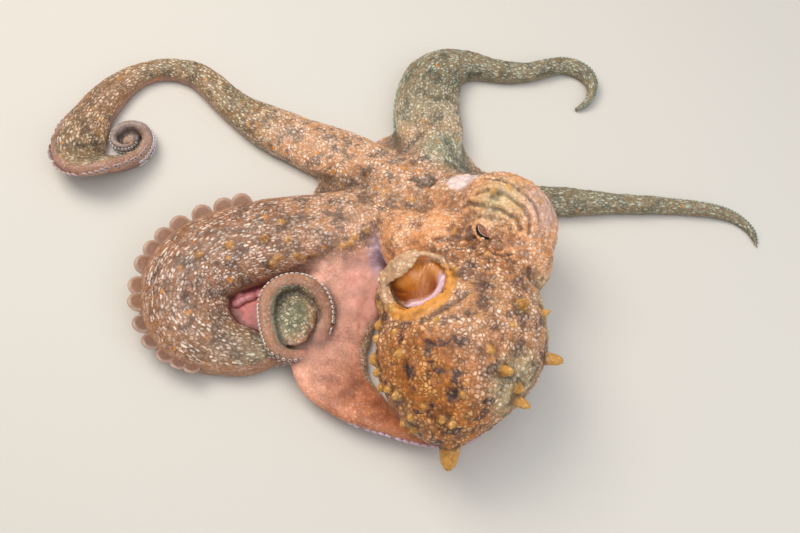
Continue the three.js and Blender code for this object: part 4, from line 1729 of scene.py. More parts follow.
    def shape(self) -> bpy.types.Object:
        """Make the skin's mesh with its relief and lids.

        Returns:
            The skin, in mm of the layout.
        """
        made = self.closed_skin()
        places = positions(made.data)
        LOG.info("closed skin: %d vertices", len(places))
        height = self.relief(self.anatomy.survey(places))
        places += normals(made.data) * height[:, None]
        places[:, 2] = np.maximum(places[:, 2], 0)
        move_to(made.data, places)
        self.cut_lids(made)
        triangles = sum(len(face.vertices) - 2 for face in made.data.polygons)
        LOG.info("skin: %d of %d triangles kept", self.most_triangles, triangles)
        settle(made, "DECIMATE", ratio=min(1.0, self.most_triangles / triangles))
        move_to(made.data, self.layout.clip(positions(made.data)))
        return made

    def build(self) -> bpy.types.Object:
        """Make the whole skin, in place and painted.

        Returns:
            The skin, which replaces every node but the eyes and the funnel.
        """
        made = self.shape()
        survey = self.anatomy.survey(positions(made.data))
        place_piece(made, self.layout, SkinFinish().material())
        self.paint(made.data, survey)
        flesh = [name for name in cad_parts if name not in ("eye_left", "eye_right", "funnel")]
        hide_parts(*flesh)
        return made


# ---------------------------------------------------------------- materials
Socket = bpy.types.NodeSocket
Setting = float | str | bool | tuple[float, ...]
TIMES = {"operation": "MULTIPLY"}
SMOOTH = {"interpolation_type": "SMOOTHSTEP"}


@dataclass(frozen=True)
class Step:
    """A step from one pair of numbers to another: low turns into start, and high into end."""

    low: float
    high: float
    start: float = 0.0
    end: float = 1.0

    def of(self, value: Socket) -> dict[int, float | Socket]:
        """Return a range node's inputs for a value, by number."""
        return dict(enumerate((value, self.low, self.high, self.start, self.end)))


@dataclass
class Shader:
    """A material's node tree while it is put together."""

    material: bpy.types.Material

    @classmethod
    def named(cls, name: str) -> "Shader":
        """Start an empty node material.

        Args:
            name: the material's name.

        Returns:
            Its shader.
        """
        material = bpy.data.materials.new(name)
        material.use_nodes = True
        material.node_tree.nodes.clear()
        return cls(material)

    def add(self, kind: str, inputs: dict[str | int, Setting | Socket] | None = None, out: str | int = 0,
            **settings: Setting) -> Socket | None:
        """Add a node with its settings and links.

        Args:
            kind: the node's type, without "ShaderNode".
            inputs: values or sockets, by input name or number.
            out: the output wanted.
            **settings: the node's own settings.

        Returns:
            The output socket, or None for a node without outputs.
        """
        tree = self.material.node_tree
        node = tree.nodes.new("ShaderNode" + kind)
        for key, value in settings.items():
            setattr(node, key, value)
        for key, value in (inputs or {}).items():
            if isinstance(value, bpy.types.NodeSocket):
                tree.links.new(value, node.inputs[key])
            else:
                node.inputs[key].default_value = value
        return node.outputs[out] if node.outputs else None


@dataclass(frozen=True)
class SkinFinish:
    """Moist cephalopod skin: a soft, slightly see-through hide, pebbled with cells, matt with a wet film.

    The film gives small broken highlights on every cell, and the flesh below warms the shadows. Its colour
    also carries painted shade in the grooves and a painted highlight on the ridges.

    Attributes:
        drift: the waves that bend the markings, mm.
        warp: how far they bend the body's net, mm.
        sway: how far they bend the dashes along and across an arm, mm.
        cell: the pale cells of the body's net, mm.
        crowd: the places where the net is bright or faint, mm.
        cell_edge: the dark line round a cell, by its distance from the border.
        cell_dome: the cell's fall from its middle.
        cell_chance: how bright single cells are.
        cell_crowd: how bright whole places are.
        dash_length: the spacing of the pale dashes along an arm, mm.
        dash_width: the spacing of their rows, mm.
        stagger: how far each row starts after its neighbour, over a dash.
        loose: how far a dash may lie off its place.
        dash_body: the dash's fall from its middle.
        dash_chance: how bright single dashes are.
        blotch: the dark blotches, mm.
        blotch_edge: the edge of a blotch in its noise.
        blotch_depth: how much of the dark a blotch takes.
        veil: how far a blotch hides the pale markings over it.
        dot: the spacing of the orange spots, mm.
        dot_edge: a spot's edge.
        dot_chance: how many places have one.
        dot_colour: its colour.
        speckle: the colour cells, drawn coarser than the real 0.3 mm so that they show, mm.
        speck: how far they darken and lighten the skin.
        shaded: the brightness painted onto a ridge, as a highlight, and into a groove, as shade.
        rough: how matt the skin is between and on its colour cells.
    """

    drift: float = 9.0
    warp: float = 4.5
    sway: tuple[float, ...] = (6.0, 3.0, 0.0)
    cell: float = 3.3
    crowd: float = 19.0
    cell_edge: Step = Step(0.02, 0.22)
    cell_dome: Step = Step(0.68, 0.22, 0.28)
    cell_chance: Step = Step(0.05, 0.75, 0.42)
    cell_crowd: Step = Step(0.34, 0.54, 0.22)
    dash_length: float = 4.6
    dash_width: float = 2.0
    stagger: float = 0.381
    loose: float = 0.6
    dash_body: Step = Step(0.5, 0.26)
    dash_chance: Step = Step(0.05, 0.5, 0.35)
    blotch: float = 13.0
    blotch_edge: Step = Step(0.485, 0.625)
    blotch_depth: float = 0.95
    veil: Step = Step(0.2, 1.0, 1.0, 0.42)
    dot: float = 13.0
    dot_edge: Step = Step(0.2, 0.12)
    dot_chance: Step = Step(0.35, 0.5)
    dot_colour: str = "#d98a2e"
    speckle: float = 1.3
    speck: Step = Step(0.3, 0.7, -0.36, 0.28)
    shaded: Step = Step(0.25, 0.8, 1.15, 0.42)
    rough: Step = Step(0.2, 0.8, 0.42, 0.6)

    def material(self) -> bpy.types.Material:
        """Make the skin's material, which reads the colours and markings stored on the skin.

        Returns:
            The material.
        """
        shader = Shader.named("moist_skin")
        add = shader.add
        ground, fleck, dark, marks, touch = (add("Attribute", out="Color", attribute_name=name) for name in
                                             ("ground", "fleck", "dark", "marks", "touch"))
        marks, touch = (add("SeparateColor", {"Color": one}, out="Red").node.outputs
                        for one in (marks, touch))
        place = add("VectorMath", {0: add("TexCoord", out="Object"), "Scale": 1 / MM}, operation="SCALE")
        drift = add("TexNoise", {"Vector": place, "Scale": 1 / self.drift, "Detail": 2.0}, out="Color")
        drift = add("VectorMath", {0: drift, 1: (0.5, 0.5, 0.5)}, operation="SUBTRACT")
        warped = add("VectorMath", {0: drift, 1: (self.warp,) * 3, 2: place}, operation="MULTIPLY_ADD")

        edge = add("TexVoronoi", {"Vector": warped, "Scale": 1 / self.cell}, feature="DISTANCE_TO_EDGE")
        cells = add("TexVoronoi", {"Vector": warped, "Scale": 1 / self.cell})
        crowd = add("TexNoise", {"Vector": place, "Scale": 1 / self.crowd, "Detail": 2.0})
        grain = add("Attribute", out="Vector", attribute_name="grain")
        rows = add("VectorMath", {0: drift, 1: self.sway, 2: grain}, operation="MULTIPLY_ADD")
        rows = add("VectorMath", {0: rows, 1: (1 / self.dash_length, 1 / self.dash_width, 1.0)}, **TIMES)
        parts = add("SeparateXYZ", {"Vector": rows}).node.outputs
        start = add("Math", {0: add("Math", {0: parts["Y"]}, operation="FLOOR"), 1: self.stagger}, **TIMES)
        start = add("Math", {0: parts["X"], 1: start}, operation="ADD")
        brick = add("CombineXYZ", {"X": start, "Y": parts["Y"], "Z": parts["Z"]})
        dashes = add("TexVoronoi", {"Vector": brick, "Scale": 1.0, "Randomness": self.loose})
        cloud = add("TexNoise", {"Vector": warped, "Scale": 1 / self.blotch, "Detail": 3.0, "Roughness": 0.6})
        grit = add("TexNoise", {"Vector": place, "Scale": 1 / self.speckle, "Detail": 2.0, "Roughness": 0.7})
        dots = add("TexVoronoi", {"Vector": warped, "Scale": 1 / self.dot})
        cell_lot, dash_lot, dot_lot = (
            add("SeparateColor", {"Color": one.node.outputs["Color"]}, out=part)
            for one, part in ((cells, "Red"), (dashes, "Green"), (dots, "Red")))

        shown = []
        for share, *steps in (
                (marks["Red"], (edge, self.cell_edge), (cells, self.cell_dome), (cell_lot, self.cell_chance),
                 (crowd, self.cell_crowd)),
                (marks["Green"], (dashes, self.dash_body), (dash_lot, self.dash_chance)),
                (marks["Blue"], (cloud, self.blotch_edge)),
                (touch["Red"], (dots, self.dot_edge), (dot_lot, self.dot_chance)),
                (touch["Blue"], (grit, self.speck))):
            for value, step in steps:
                share = add("Math", {0: share, 1: add("MapRange", step.of(value), **SMOOTH)}, **TIMES)
            shown.append(share)
        net, dash, blotch, dot, speck = shown

        pale = add("Math", {0: net, 1: dash}, operation="MAXIMUM")
        pale = add("Math", {0: pale, 1: add("MapRange", self.veil.of(blotch), **SMOOTH)}, **TIMES)
        deep = add("Math", {0: blotch, 1: self.blotch_depth}, **TIMES)
        colour = ground
        for share, over in ((deep, dark), (pale, fleck), (dot, (*to_linear(self.dot_colour), 1.0))):
            colour = add("Mix", {0: share, 6: colour, 7: over}, out=2, data_type="RGBA")
        # the colour cells' speckle, times the painted shade of the grooves and the painted highlight of the
        # ridges read from touch's green
        light = add("Math", {0: speck, 1: 1.0}, operation="ADD")
        light = add("Math", {0: light, 1: add("MapRange", self.shaded.of(touch["Green"]), **SMOOTH)}, **TIMES)
        light = add("CombineColor", {"Red": light, "Green": light, "Blue": light})
        colour = add("Mix", {0: 1.0, 6: colour, 7: light}, out=2, data_type="RGBA", blend_type="MULTIPLY")

        fine = add("Math", {0: grit, 1: 0.35}, **TIMES)
        height = add("Math", {0: add("Math", {0: pale, 1: 0.8}, **TIMES), 1: fine}, operation="ADD")
        bump = add("Bump", {"Height": height, "Strength": 0.9, "Distance": 0.45 * MM}, out="Normal")
        surface = add("BsdfPrincipled", {
            "Base Color": colour, "Roughness": add("MapRange", self.rough.of(grit), **SMOOTH), "IOR": 1.4,
            "Subsurface Weight": 0.12, "Subsurface Radius": (1.0, 0.45, 0.25), "Subsurface Scale": 2.2 * MM,
            "Coat Weight": 0.18, "Coat Roughness": 0.22, "Normal": bump})
        add("OutputMaterial", {"Surface": surface})
        return shader.material


@dataclass(frozen=True)
class WetFinish:
    """Smooth wet flesh, whose colours are stored on it: gill lining, funnel and suckers.

    A continuous film of water gives it long soft highlights.
    """

    name: str
    roughness: float = 0.35
    film: float = 0.4
    see_through: float = 0.2
    grain: float = 1.6  # fine mottling, mm
    mottled: Step = Step(0.3, 0.7, 0.86, 1.12)  # how far it darkens and lightens the flesh

    def material(self) -> bpy.types.Material:
        """Make the material; its colour is the attribute "tint".

        Returns:
            The material.
        """
        shader = Shader.named(self.name)
        add = shader.add
        tint = add("Attribute", out="Color", attribute_name="tint")
        place = add("TexCoord", out="Object")
        mottle = add("TexNoise", {"Vector": place, "Scale": 1 / (self.grain * MM), "Detail": 3.0})
        shade = add("MapRange", self.mottled.of(mottle))
        shade = add("CombineColor", {"Red": shade, "Green": shade, "Blue": shade})
        colour = add("Mix", {0: 1.0, 6: tint, 7: shade}, out=2, data_type="RGBA", blend_type="MULTIPLY")
        bump = add("Bump", {"Height": mottle, "Strength": 0.35, "Distance": 0.25 * MM}, out="Normal")
        surface = add("BsdfPrincipled", {
            "Base Color": colour, "Roughness": self.roughness, "IOR": 1.4,
            "Subsurface Weight": self.see_through, "Subsurface Radius": (1.0, 0.5, 0.3),
            "Subsurface Scale": 2.5 * MM, "Coat Weight": self.film, "Coat Roughness": 0.12, "Normal": bump})
        add("OutputMaterial", {"Surface": surface})
        return shader.material


@dataclass(frozen=True)
class EyeFinish:
    """A living eye: dark slit pupil in a marbled iris, under a clear wet cornea that mirrors the lights."""

    iris: str = "#a8745c"
    rim: str = "#e8dfd2"
    pupil: str = "#0c0b0d"
    bow: float = -0.55  # how far the slit's ends bend down, as a share of the eye's radius
    slit: Step = Step(0.17, 0.19)  # edge of the slit, by its height over the eye's radius
    ring: Step = Step(0.2, 0.25)  # outer edge of the pale line round it
    marbled: Step = Step(0.3, 0.7, 0.6, 1.25)  # how far the marbling darkens and lightens the iris

    def material(self) -> bpy.types.Material:
        """Make the material; the attribute "gaze" holds the place on the eye.

        Returns:
            The material.
        """
        shader = Shader.named("wet_eye")
        add = shader.add
        iris, rim, pupil = ((*to_linear(colour), 1.0) for colour in (self.iris, self.rim, self.pupil))
        gaze = add("Attribute", out="Vector", attribute_name="gaze")
        parts = add("SeparateXYZ", {"Vector": gaze}, out="X").node.outputs
        marble = add("TexNoise", {"Vector": gaze, "Scale": 9.0, "Detail": 4.0})
        bow = add("Math", {0: parts["X"], 1: parts["X"]}, **TIMES)
        offset = add("Math", {0: bow, 1: self.bow, 2: parts["Y"]}, operation="MULTIPLY_ADD")
        level = add("Math", {0: offset}, operation="ABSOLUTE")
        edge = add("MapRange", self.slit.of(level), **SMOOTH)
        ring = add("MapRange", self.ring.of(level), **SMOOTH)
        shade = add("MapRange", self.marbled.of(marble))
        shade = add("CombineColor", {"Red": shade, "Green": shade, "Blue": shade})
        colour = add("Mix", {0: 1.0, 6: iris, 7: shade}, out=2, data_type="RGBA", blend_type="MULTIPLY")
        for share, under in ((ring, rim), (edge, pupil)):
            colour = add("Mix", {0: share, 6: under, 7: colour}, out=2, data_type="RGBA")
        surface = add("BsdfPrincipled", {"Base Color": colour, "Roughness": 0.3, "IOR": 1.38,
                                         "Coat Weight": 1.0, "Coat Roughness": 0.03})
        add("OutputMaterial", {"Surface": surface})
        return shader.material


def place_piece(made: bpy.types.Object, layout: Layout, material: bpy.types.Material) -> bpy.types.Object:
    """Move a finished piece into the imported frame, dress it and put it on the body.

    Args:
        made: the piece, its mesh in mm of the layout.
        layout: the layout.
        material: its material.

    Returns:
        The piece.
    """
    made.data.transform(layout.matrix())
    made.data.shade_smooth()
    made.data.materials.clear()
    made.data.materials.append(material)
    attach(made, BODY)
    return made


# ---------------------------------------------------------------- eyes
@dataclass
class Eyes:
    """Both eyeballs, their pupils level."""

    head: Head
    layout: Layout
    pupil_down: float = 0.27  # how far the pupil lies below the eye's middle, as a share of its radius

    def build(self) -> list[bpy.types.Object]:
        """Make both eyes.

        Returns:
            The left eye and the right one, each on its own node.
        """
        material = EyeFinish().material()
        made = []
        for side, name in ((-1, "left"), (1, "right")):
            mesh = bmesh.new()
            centre = self.head.eye(side)
            out = self.head.eye(side, self.head.eye_out + 1) - centre
            level = self.head.frame().to_3x3() @ Vector((0, 0, 1))
            place = frame_of(centre, level, out)
            gaze = []
            for vert in add_ball(mesh, Matrix.Identity(4), 48, 40):
                gaze.append(vert.co.copy())
                vert.co = place @ (vert.co * self.head.eye_radius)
            eye = object_of(f"eyeball_{name}", mesh)
            turn = Matrix.Rotation(math.radians(-self.head.slit_turn), 3, "Z")
            seen = [turn @ one + Vector((0, self.pupil_down, 0)) for one in gaze]
            store_vector(eye.data, "gaze", np.array(seen))
            place_piece(eye, self.layout, material)
            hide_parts(f"eye_{name}")
            made.append(eye)
        return made


# ---------------------------------------------------------------- gill opening
@dataclass(frozen=True)
class Dome:
    """A rounded swelling of the funnel wall: its place and half sizes, and its height, in mm."""

    x: float
    y: float
    half_width: float
    half_length: float
    height: float

    def rise(self, x: float, y: float) -> float:
        """Return how high the swelling stands at a place, in mm."""
        out = ((x - self.x) / self.half_width) ** 2 + ((y - self.y) / self.half_length) ** 2
        return self.height * math.exp(-out ** 1.5)


@dataclass
class Lining:
    """The funnel wall that bulges in the gill opening: two domes with pleats between them.

    Attributes:
        opening: the gill opening.
        layout: where it stands.
        half_width: the lining's half size along the opening's x, mm.
        half_length: the same along its y.
        forward: how far its middle lies from the opening's along y, mm.
        low: the level of the wall between its swellings, mm from the rim's plane.
        back: the level of its underside.
        bow: how far the underside rises to its rim, mm.
        thinnest: the least thickness of the wall, mm.
        domes: its swellings.
        pleat_at: a point of the middle pleat between the domes.
        pleat_way: the way across the pleats.
        pleats: where they lie on that way, mm.
        pleat_width: their half width, mm.
        pleat_height: how far they stand out, mm.
        pleat_reach: how far they run, mm.
        pleat_pale: how pale they are, and the half width of that, mm.
        crease: the depth of the crease at the wall's left, mm.
        crease_at: a point of it.
        crease_way: the way across it.
        crease_width: its half width, mm.
        crease_span: x of its middle and half its length, mm.
        deep: the level below which painted shade darkens the wall, and over how much, mm.
        corner: how dark the painted shade in the crease at its left end is, and x and half width of that, mm.
        ledge: how high the pale inner wall stands over the low level, mm.
        ledge_rim: where it runs, over the lining's half sizes, and its half width.
        ledge_from: how far below the middle it starts, mm.
        ledge_soft: over how much it sets in, mm.
        gold: the domes' colour.
        amber: the colour of the painted shade deep down and in the left crease.
        cream: the colour on the pleats.
        lilac: the colour of the pale inner wall.
    """

    opening: Aperture
    layout: Layout
    half_width: float = 22.5
    half_length: float = 19.0
    forward: float = 2.5
    low: float = -12
    back: float = -13.5
    bow: float = 3
    thinnest: float = 0.4
    domes: tuple[Dome, ...] = (Dome(-6, 7, 15, 14, 12.5), Dome(16, 1, 7.5, 12, 10))
    pleat_at: tuple[float, float] = (8.5, 2.5)
    pleat_way: tuple[float, float] = (0.74, -0.67)
    pleats: tuple[float, ...] = (-3.2, 0.0, 3.0)
    pleat_width: float = 0.9
    pleat_height: float = 1.1
    pleat_reach: float = 13
    pleat_pale: tuple[float, float] = (0.55, 4.0)
    crease: float = 2.2
    crease_at: tuple[float, float] = (-15, -1)
    crease_way: tuple[float, float] = (0.55, 0.83)
    crease_width: float = 1.5
    crease_span: tuple[float, float] = (-16, 6)
    deep: tuple[float, float] = (-4.0, 7)
    corner: Point = (0.5, -17, 5)
    ledge: float = 9.5
    ledge_rim: tuple[float, float] = (0.84, 0.2)
    ledge_from: float = 4
    ledge_soft: float = 6
    gold: str = "#d0812a"
    amber: str = "#a4561f"
    cream: str = "#dba272"
    lilac: str = "#f0cdd8"

    def shelf(self, x: float, y: float) -> float:
        """Work out how far a place belongs to the pale inner wall along the lower right of the rim.

        Args:
            x: the place's x in the opening, in mm.
            y: its y.

        Returns:
            The share, from 0 to 1.
        """
        rim = math.hypot(x / self.half_width, y / self.half_length)
        below = min(1.0, max(0.0, (self.opening.slant * x - y - self.ledge_from) / self.ledge_soft))
        return below * math.exp(-((rim - self.ledge_rim[0]) / self.ledge_rim[1]) ** 4)

    @staticmethod
    def across(place: tuple[float, float], at: tuple[float, float], way: tuple[float, float]) -> float:
        """Return how far a place lies from a point, along a way."""
        return (place[0] - at[0]) * way[0] + (place[1] - at[1]) * way[1]

    def height(self, x: float, y: float) -> float:
        """Work out how high the wall stands over its rim's plane.

        Args:
            x: the place's x in the opening, in mm.
            y: its y.

        Returns:
            The height, in mm.
        """
        domes = sum((dome.rise(x, y) for dome in self.domes), self.low)
        pleat = self.across((x, y), self.pleat_at, self.pleat_way)
        folds = sum(math.exp(-((pleat - at) / self.pleat_width) ** 2) for at in self.pleats)
        off = self.across((x, y), self.crease_at, self.crease_way)
        middle, span = self.crease_span
        crease = math.exp(-(off / self.crease_width) ** 2) * math.exp(-((x - middle) / span) ** 2)
        return (domes + self.pleat_height * folds * math.exp(-(y / self.pleat_reach) ** 4)
                - self.crease * crease)

    def tone(self, x: float, y: float, top: float) -> np.ndarray:
        """Work out the wall's colour.

        Args:
            x: the place's x in the opening, in mm.
            y: its y.
            top: the wall's height there.

        Returns:
            The linear colour.
        """
        gold, amber, cream, lilac = (np.array(to_linear(one)) for one in
                                     (self.gold, self.amber, self.cream, self.lilac))
        # painted shade: darker where the wall lies deep in the hollow and along the crease at its left end
        share, middle, span = self.corner
        corner = share * math.exp(-((x - middle) / span) ** 2)
        dark = min(1.0, max(0.0, (self.deep[0] - top) / self.deep[1]) + corner)
        pleat = self.across((x, y), self.pleat_at, self.pleat_way)
        pale = self.pleat_pale[0] * math.exp(-(pleat / self.pleat_pale[1]) ** 2)
        shelf = self.shelf(x, y)
        tone = gold
        for share, over in ((dark, amber), (pale, cream), (shelf, lilac)):
            tone = tone * (1 - share) + over * share
        return tone

    def build(self) -> bpy.types.Object:
        """Make the lining.

        Returns:
            The lining, in place of the hidden funnel.
        """
        mesh = bmesh.new()
        place = self.opening.frame() @ Matrix.Translation((0, self.forward, 0))
        colours = []
        for vert in add_ball(mesh, Matrix.Identity(4), 96, 64):
            x, y, z = vert.co
            rim = math.hypot(x, y)
            spread = math.asin(min(1.0, rim)) / (math.pi / 2) / max(rim, 1e-6)
            x, y = x * spread * self.half_width, y * spread * self.half_length
            top = max(self.height(x, y), self.low + self.ledge * self.shelf(x, y))
            drop = self.back + self.bow * rim ** 4
            vert.co = place @ Vector((x, y, max(top, drop + self.thinnest) if z > 0 else drop))
            colours.append(self.tone(x, y, top))
        made = object_of("funnel_lining", mesh)
        store_colour(made.data, "tint", np.array(colours))
        finish = WetFinish("wet_lining", roughness=0.28, film=0.7)
        place_piece(made, self.layout, finish.material())
        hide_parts("funnel")
        return made


# ---------------------------------------------------------------- suckers
@dataclass(frozen=True)
class SuckerRow:
    """A row of suckers along an arm.

    Attributes:
        arm: the arm's name.
        start: where the row starts, in mm from the arm's root.
        end: where it ends.
        first: the first sucker's radius, mm.
        last: the last one's.
        angle: where the row runs round the arm, in degrees from its outer edge; -90 is the sole.
        tilt: how far the cups lean from the arm's side, in degrees.
        pitch: spacing over the radius.
        flesh: colour of the cup's wall.
        edge: colour of its rim.
        sink: how deep the cup's foot sits in the skin, as a share of the radius.
        tall: the cup's height over its radius.
    """

    arm: str
    start: float
    end: float
    first: float
    last: float
    angle: float
    tilt: float = 0.0
    pitch: float = 1.9
    flesh: str = "#8f7668"
    edge: str = "#c9b6a6"
    sink: float = 0.5
    tall: float = 1.0


@dataclass
class Suckers:
    """The cups that show along the arms' edges, one joined mesh for each arm.

    Attributes:
        sections: the sections of each arm, by its name.
        layout: where they stand.
        sides: the points round a cup.
        profile: (height, radius) up the wall of a cup of radius 1, over its rim and down into it.
        most: a cup's greatest radius over its arm's height.
        end_gap: how far before the arm's end a row stops, mm.
        rim_high: the heights at which the rim's colour sets in, and is whole.
        rim_in: the same for the distance from the axis.
        rim_out: the distances at which the widest part takes it too.
        rim_side: how much of it that part takes.
        pit_in: the distances at which the shade in the cup's middle sets in, and is whole.
        pit_high: the same for the height.
        pit_shade: how dark that shade is.
        rows: the rows.
    """

    sections: dict[str, Sections]
    layout: Layout
    sides: int = 14
    profile: tuple[tuple[float, float], ...] = (
        (0.0, 0.62), (0.3, 0.92), (0.62, 1.0), (0.86, 0.9),
        (0.95, 0.76), (0.88, 0.62), (0.62, 0.42), (0.5, 0.0))
    most: float = 0.55
    end_gap: float = 3
    rim_high: tuple[float, float] = (0.7, 0.9)
    rim_in: tuple[float, float] = (0.5, 0.7)
    rim_out: tuple[float, float] = (0.8, 0.98)
    rim_side: float = 0.85
    pit_in: tuple[float, float] = (0.5, 0.1)
    pit_high: tuple[float, float] = (0.3, 0.5)
    pit_shade: float = 0.5
    rows: tuple[SuckerRow, ...] = (
        SuckerRow("left_2", 146, 232, 9.0, 8.6, 14, -80, 1.8, "#93694f", "#cfae98", 0.3, 0.26),
        SuckerRow("left_2", 236, 276, 8.4, 6.6, 14, -80, 1.8, "#84604e", "#c4a592", 0.3, 0.26),
        SuckerRow("left_2", 62, 236, 8.0, 6.0, -163, 30, 1.6, "#c9767a", "#dc9698", -0.4, 0.9),
        SuckerRow("left_2", 322, 500, 2.1, 1.3, -62, 0, 2.0, "#8b7468", "#e8dfd6", 0.3),
        SuckerRow("left_2", 326, 500, 2.1, 1.3, -116, 0, 2.0, "#8b7468", "#e8dfd6", 0.3),
        SuckerRow("left_1", 235, 380, 2.2, 3.4, -26, -40, 1.9, "#957a76", "#c9b2ae", 0.3, 0.6),
        SuckerRow("left_1", 383, 450, 3.4, 2.2, -26, -40, 1.9, "#957a76", "#c9b2ae", 0.3, 0.6),
        SuckerRow("left_1", 440, 560, 1.8, 0.9, -66, 0, 2.1, "#b09da2", "#f1e9ea", 0.3),
        SuckerRow("left_1", 440, 560, 1.8, 0.9, -112, 0, 2.1, "#b09da2", "#f1e9ea", 0.3),
        SuckerRow("left_3", 168, 300, 3.6, 1.2, -50, -10, 1.9, "#b38a9c", "#dcc0cd", 0.6),
        # The green-grey cups of the right arms carry the same painted shade as those arms: the greenish cast
        # of dim ambient light.
        SuckerRow("right_1", 50, 130, 3.2, 2.6, -22, -15, 2.0, "#5f7a6c", "#a3b8a8", 0.8),
        SuckerRow("right_1", 150, 320, 2.4, 1.0, -34, -16, 2.0, "#5a7668", "#a3b8a8", 0.8),
        SuckerRow("right_2", 60, 250, 2.6, 1.0, -30, -12, 2.0, "#5a7668", "#a3b8a8", 0.5),
        SuckerRow("right_3", 60, 210, 2.4, 1.0, -60, 0, 2.1, "#7d8a84", "#c9cdc4", 0.4),
    )

    def cup(self) -> bpy.types.Mesh:
        """Make one cup of radius 1, opening along z.

        Returns:
            The cup's mesh, which belongs to no object.
        """
        mesh = bmesh.new()
        verts = [mesh.verts.new((radius, 0, height)) for height, radius in self.profile]
        edges = [mesh.edges.new(pair) for pair in zip(verts, verts[1:])]
        bmesh.ops.spin(mesh, geom=[*verts, *edges], axis=(0, 0, 1), cent=(0, 0, 0), steps=self.sides,
                       angle=2 * math.pi, use_merge=True)
        bmesh.ops.remove_doubles(mesh, verts=mesh.verts, dist=1e-4)
        foot = [edge for edge in mesh.edges if edge.is_boundary]
        bmesh.ops.contextual_create(mesh, geom=foot)
        bmesh.ops.recalc_face_normals(mesh, faces=mesh.faces)
        data = bpy.data.meshes.new("cup")
        mesh.to_mesh(data)
        mesh.free()
        return data

    @staticmethod
    def side(row: SuckerRow) -> int:
        """Return the side that a row's arm leans to."""
        return next(arm.side for arm in ARMS if arm.name == row.arm)

    def foot(self, row: SuckerRow, i: int) -> Vector:
        """Find where a row passes a section of its arm.

        Args:
            row: the row.
            i: the section.

        Returns:
            The point on the arm's surface, in mm.
        """
        cut = self.sections[row.arm]
        across, up = section_point(math.radians(row.angle))
        return cut.place(i, -self.side(row) * across * cut.half[i], up * cut.height[i] / 2)

    def places(self, row: SuckerRow) -> list[Matrix]:
        """Find the places of a row's suckers, evenly spaced where the row runs.

        Args:
            row: the row.

        Returns:
            Each sucker's frame, which also holds its size.
        """
        cut = self.sections[row.arm]
        lean = math.radians(row.angle + row.tilt)
        found = []
        end = min(row.end, cut.distance[-1] - self.end_gap)
        at = row.start
        while at < end:
            share = (at - row.start) / (row.end - row.start)
            i = cut.at(at)
            radius = min(row.first + (row.last - row.first) * share, cut.height[i] * self.most)
            foot, middle = self.foot(row, i), cut.place(i, 0, 0)
            out = (cut.place(i, -self.side(row) * math.cos(lean), math.sin(lean)) - middle).normalized()
            ahead = Vector((math.cos(cut.heading[i]), math.sin(cut.heading[i]), 0))
            place = frame_of(foot - out * radius * row.sink, ahead, out)
            found.append(place @ sized((radius, radius, radius * row.tall)))
            near = (self.foot(row, i + 1) - foot).length / (cut.place(i + 1, 0, 0) - middle).length
            at += radius * row.pitch / max(near, 0.4)
        return found

    def shades(self, cup: bpy.types.Mesh) -> tuple[np.ndarray, np.ndarray]:
        """Work out where a cup takes its rim's colour and where it is dark.

        Args:
            cup: a cup of radius 1.

        Returns:
            The share of the rim's colour and the share of shade, one row for each vertex.
        """
        shape = positions(cup)
        wide, high = np.hypot(shape[:, :1], shape[:, 1:2]), shape[:, 2:]
        rim = np.maximum(ramp(high, *self.rim_high) * ramp(wide, *self.rim_in),
                         self.rim_side * ramp(wide, *self.rim_out))
        return rim, self.pit_shade * (ramp(wide, *self.pit_in) * ramp(high, *self.pit_high))

    def build(self) -> list[bpy.types.Object]:
        """Make the suckers of every arm.

        Returns:
            One piece for each arm that has some.
        """
        cup = self.cup()
        rim, shade = self.shades(cup)
        material = WetFinish("sucker_flesh", roughness=0.4, film=0.3, see_through=0.3).material()
        made = []
        for arm in dict.fromkeys(row.arm for row in self.rows):
            mesh = bmesh.new()
            colours = []
            for row in (row for row in self.rows if row.arm == arm):
                flesh, edge = np.array(to_linear(row.flesh)), np.array(to_linear(row.edge))
                tone = (flesh * (1 - rim) + edge * rim) * (1 - shade)
                for place in self.places(row):
                    before = len(mesh.verts)
                    mesh.from_mesh(cup)
                    mesh.verts.ensure_lookup_table()
                    bmesh.ops.transform(mesh, matrix=place, verts=mesh.verts[before:])
                    colours.append(tone)
            piece = object_of(f"suckers_{arm}", mesh)
            store_colour(piece.data, "tint", np.vstack(colours))
            move_to(piece.data, self.layout.clip(positions(piece.data)))
            made.append(place_piece(piece, self.layout, material))
        bpy.data.meshes.remove(cup)
        return made


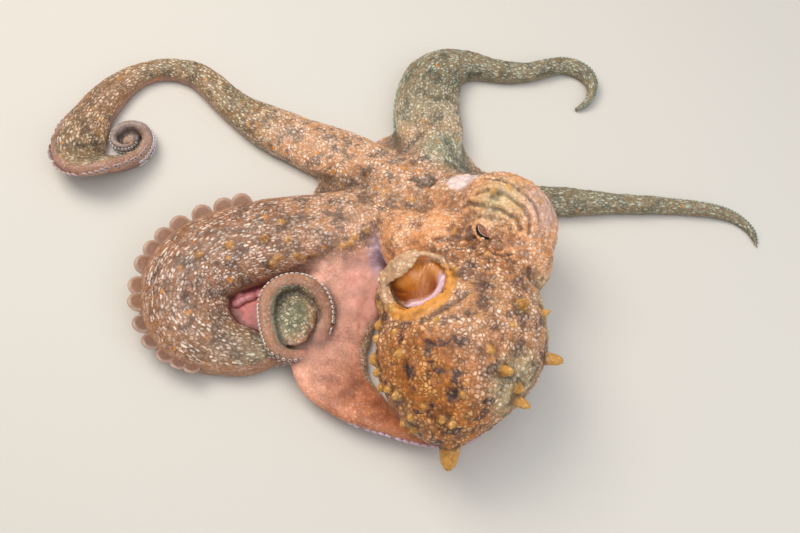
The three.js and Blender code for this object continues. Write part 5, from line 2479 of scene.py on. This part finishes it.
# ---------------------------------------------------------------- studio
@dataclass(frozen=True)
class Studio:
    """A pale floor, soft lights, and a camera that looks down on the animal."""

    layout: Layout
    elevation: float = 62.0  # the camera's, in degrees above the floor
    distance: float = 0.7  # from the camera to the middle of the layout, m
    lens: float = 38.0  # mm
    floor_colour: str = "#d9d4cb"
    floor_size: float = 3.0  # half its side, m
    floor_grain: float = 400.0  # grains in a metre
    lights: tuple[tuple[str, Point, float, float, str], ...] = (
        ("key", (-0.55, 0.45, 1.15), 0.8, 11, "#fff6ea"),
        ("fill", (0.8, -0.6, 0.9), 1.0, 5, "#eaf2ff"),
        ("top", (0.1, -0.2, 1.5), 1.2, 6, "#ffffff"))  # name, place and side in m, watts, colour
    sky_colour: str = "#e8ecf0"
    sky_strength: float = 0.45

    def floor(self) -> bpy.types.Object:
        """Make the floor of matt painted board, whose fine grain breaks up its sheen.

        Returns:
            The floor.
        """
        mesh = bmesh.new()
        bmesh.ops.create_grid(mesh, x_segments=1, y_segments=1, size=self.floor_size)
        made = object_of("floor", mesh)
        shader = Shader.named("painted_board")
        add = shader.add
        grain = add("TexNoise", {"Vector": add("TexCoord", out="Object"), "Scale": self.floor_grain})
        bump = add("Bump", {"Height": grain, "Strength": 0.1, "Distance": 0.5 * MM}, out="Normal")
        surface = add("BsdfPrincipled", {"Base Color": (*to_linear(self.floor_colour), 1.0),
                                         "Roughness": 0.8, "Normal": bump})
        add("OutputMaterial", {"Surface": surface})
        made.data.materials.append(shader.material)
        made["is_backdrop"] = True
        return made

    def light(self, name: str, place: Point, size: float, power: float, colour: str) -> bpy.types.Object:
        """Hang a soft square light that faces the animal.

        Args:
            name: the light's name.
            place: where it hangs, in metres.
            size: its side, in metres.
            power: its power, in watts.
            colour: its colour.

        Returns:
            The light.
        """
        data = bpy.data.lights.new(name, "AREA")
        data.size, data.energy, data.color = size, power, to_linear(colour)
        made = bpy.data.objects.new(name, data)
        made.location = place
        made.rotation_euler = (-Vector(place)).to_track_quat("-Z", "Y").to_euler()
        bpy.context.scene.collection.objects.link(made)
        return made

    def camera(self) -> bpy.types.Object:
        """Set up the camera.

        Returns:
            The camera, which is the scene's own.
        """
        data = bpy.data.cameras.new("camera")
        data.lens = self.lens
        data.clip_start, data.clip_end = 0.01, 20
        made = bpy.data.objects.new("camera", data)
        lean = math.radians(self.elevation)
        back = Vector((0, -math.cos(lean), math.sin(lean)))
        made.location = self.layout.point((0, 0, 0)) + back * self.distance
        made.rotation_euler = (-back).to_track_quat("-Z", "Y").to_euler()
        bpy.context.scene.collection.objects.link(made)
        bpy.context.scene.camera = made
        return made

    def build(self) -> None:
        """Set up the whole studio."""
        self.floor()
        for light in self.lights:
            self.light(*light)
        world = bpy.data.worlds.new("studio")
        world.use_nodes = True
        backdrop = world.node_tree.nodes["Background"]
        backdrop.inputs["Color"].default_value = (*to_linear(self.sky_colour), 1.0)
        backdrop.inputs["Strength"].default_value = self.sky_strength
        bpy.context.scene.world = world
        bpy.context.scene.view_settings.view_transform = "Standard"
        self.camera()


def main() -> None:
    """Build the octopus and its studio, and report each piece."""
    logging.basicConfig(level=logging.INFO, format="%(name)s: %(message)s")
    anatomy = Anatomy()
    low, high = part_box("eye_left")
    shift = (low + high) / 2 / MM - anatomy.head.eye(-1)
    layout = Layout(shift)
    LOG.info("layout shift: %s mm", [round(part, 2) for part in shift])
    Studio(layout).build()

    pieces = [Skin(layout, anatomy).build(), *Eyes(anatomy.head, layout).build(),
              Lining(anatomy.aperture, layout).build(), *Suckers(anatomy.sections, layout).build()]
    for piece in pieces:
        LOG.info("%s: %d faces", piece.name, len(piece.data.polygons))

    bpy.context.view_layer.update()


if __name__ == "__main__":
    main()
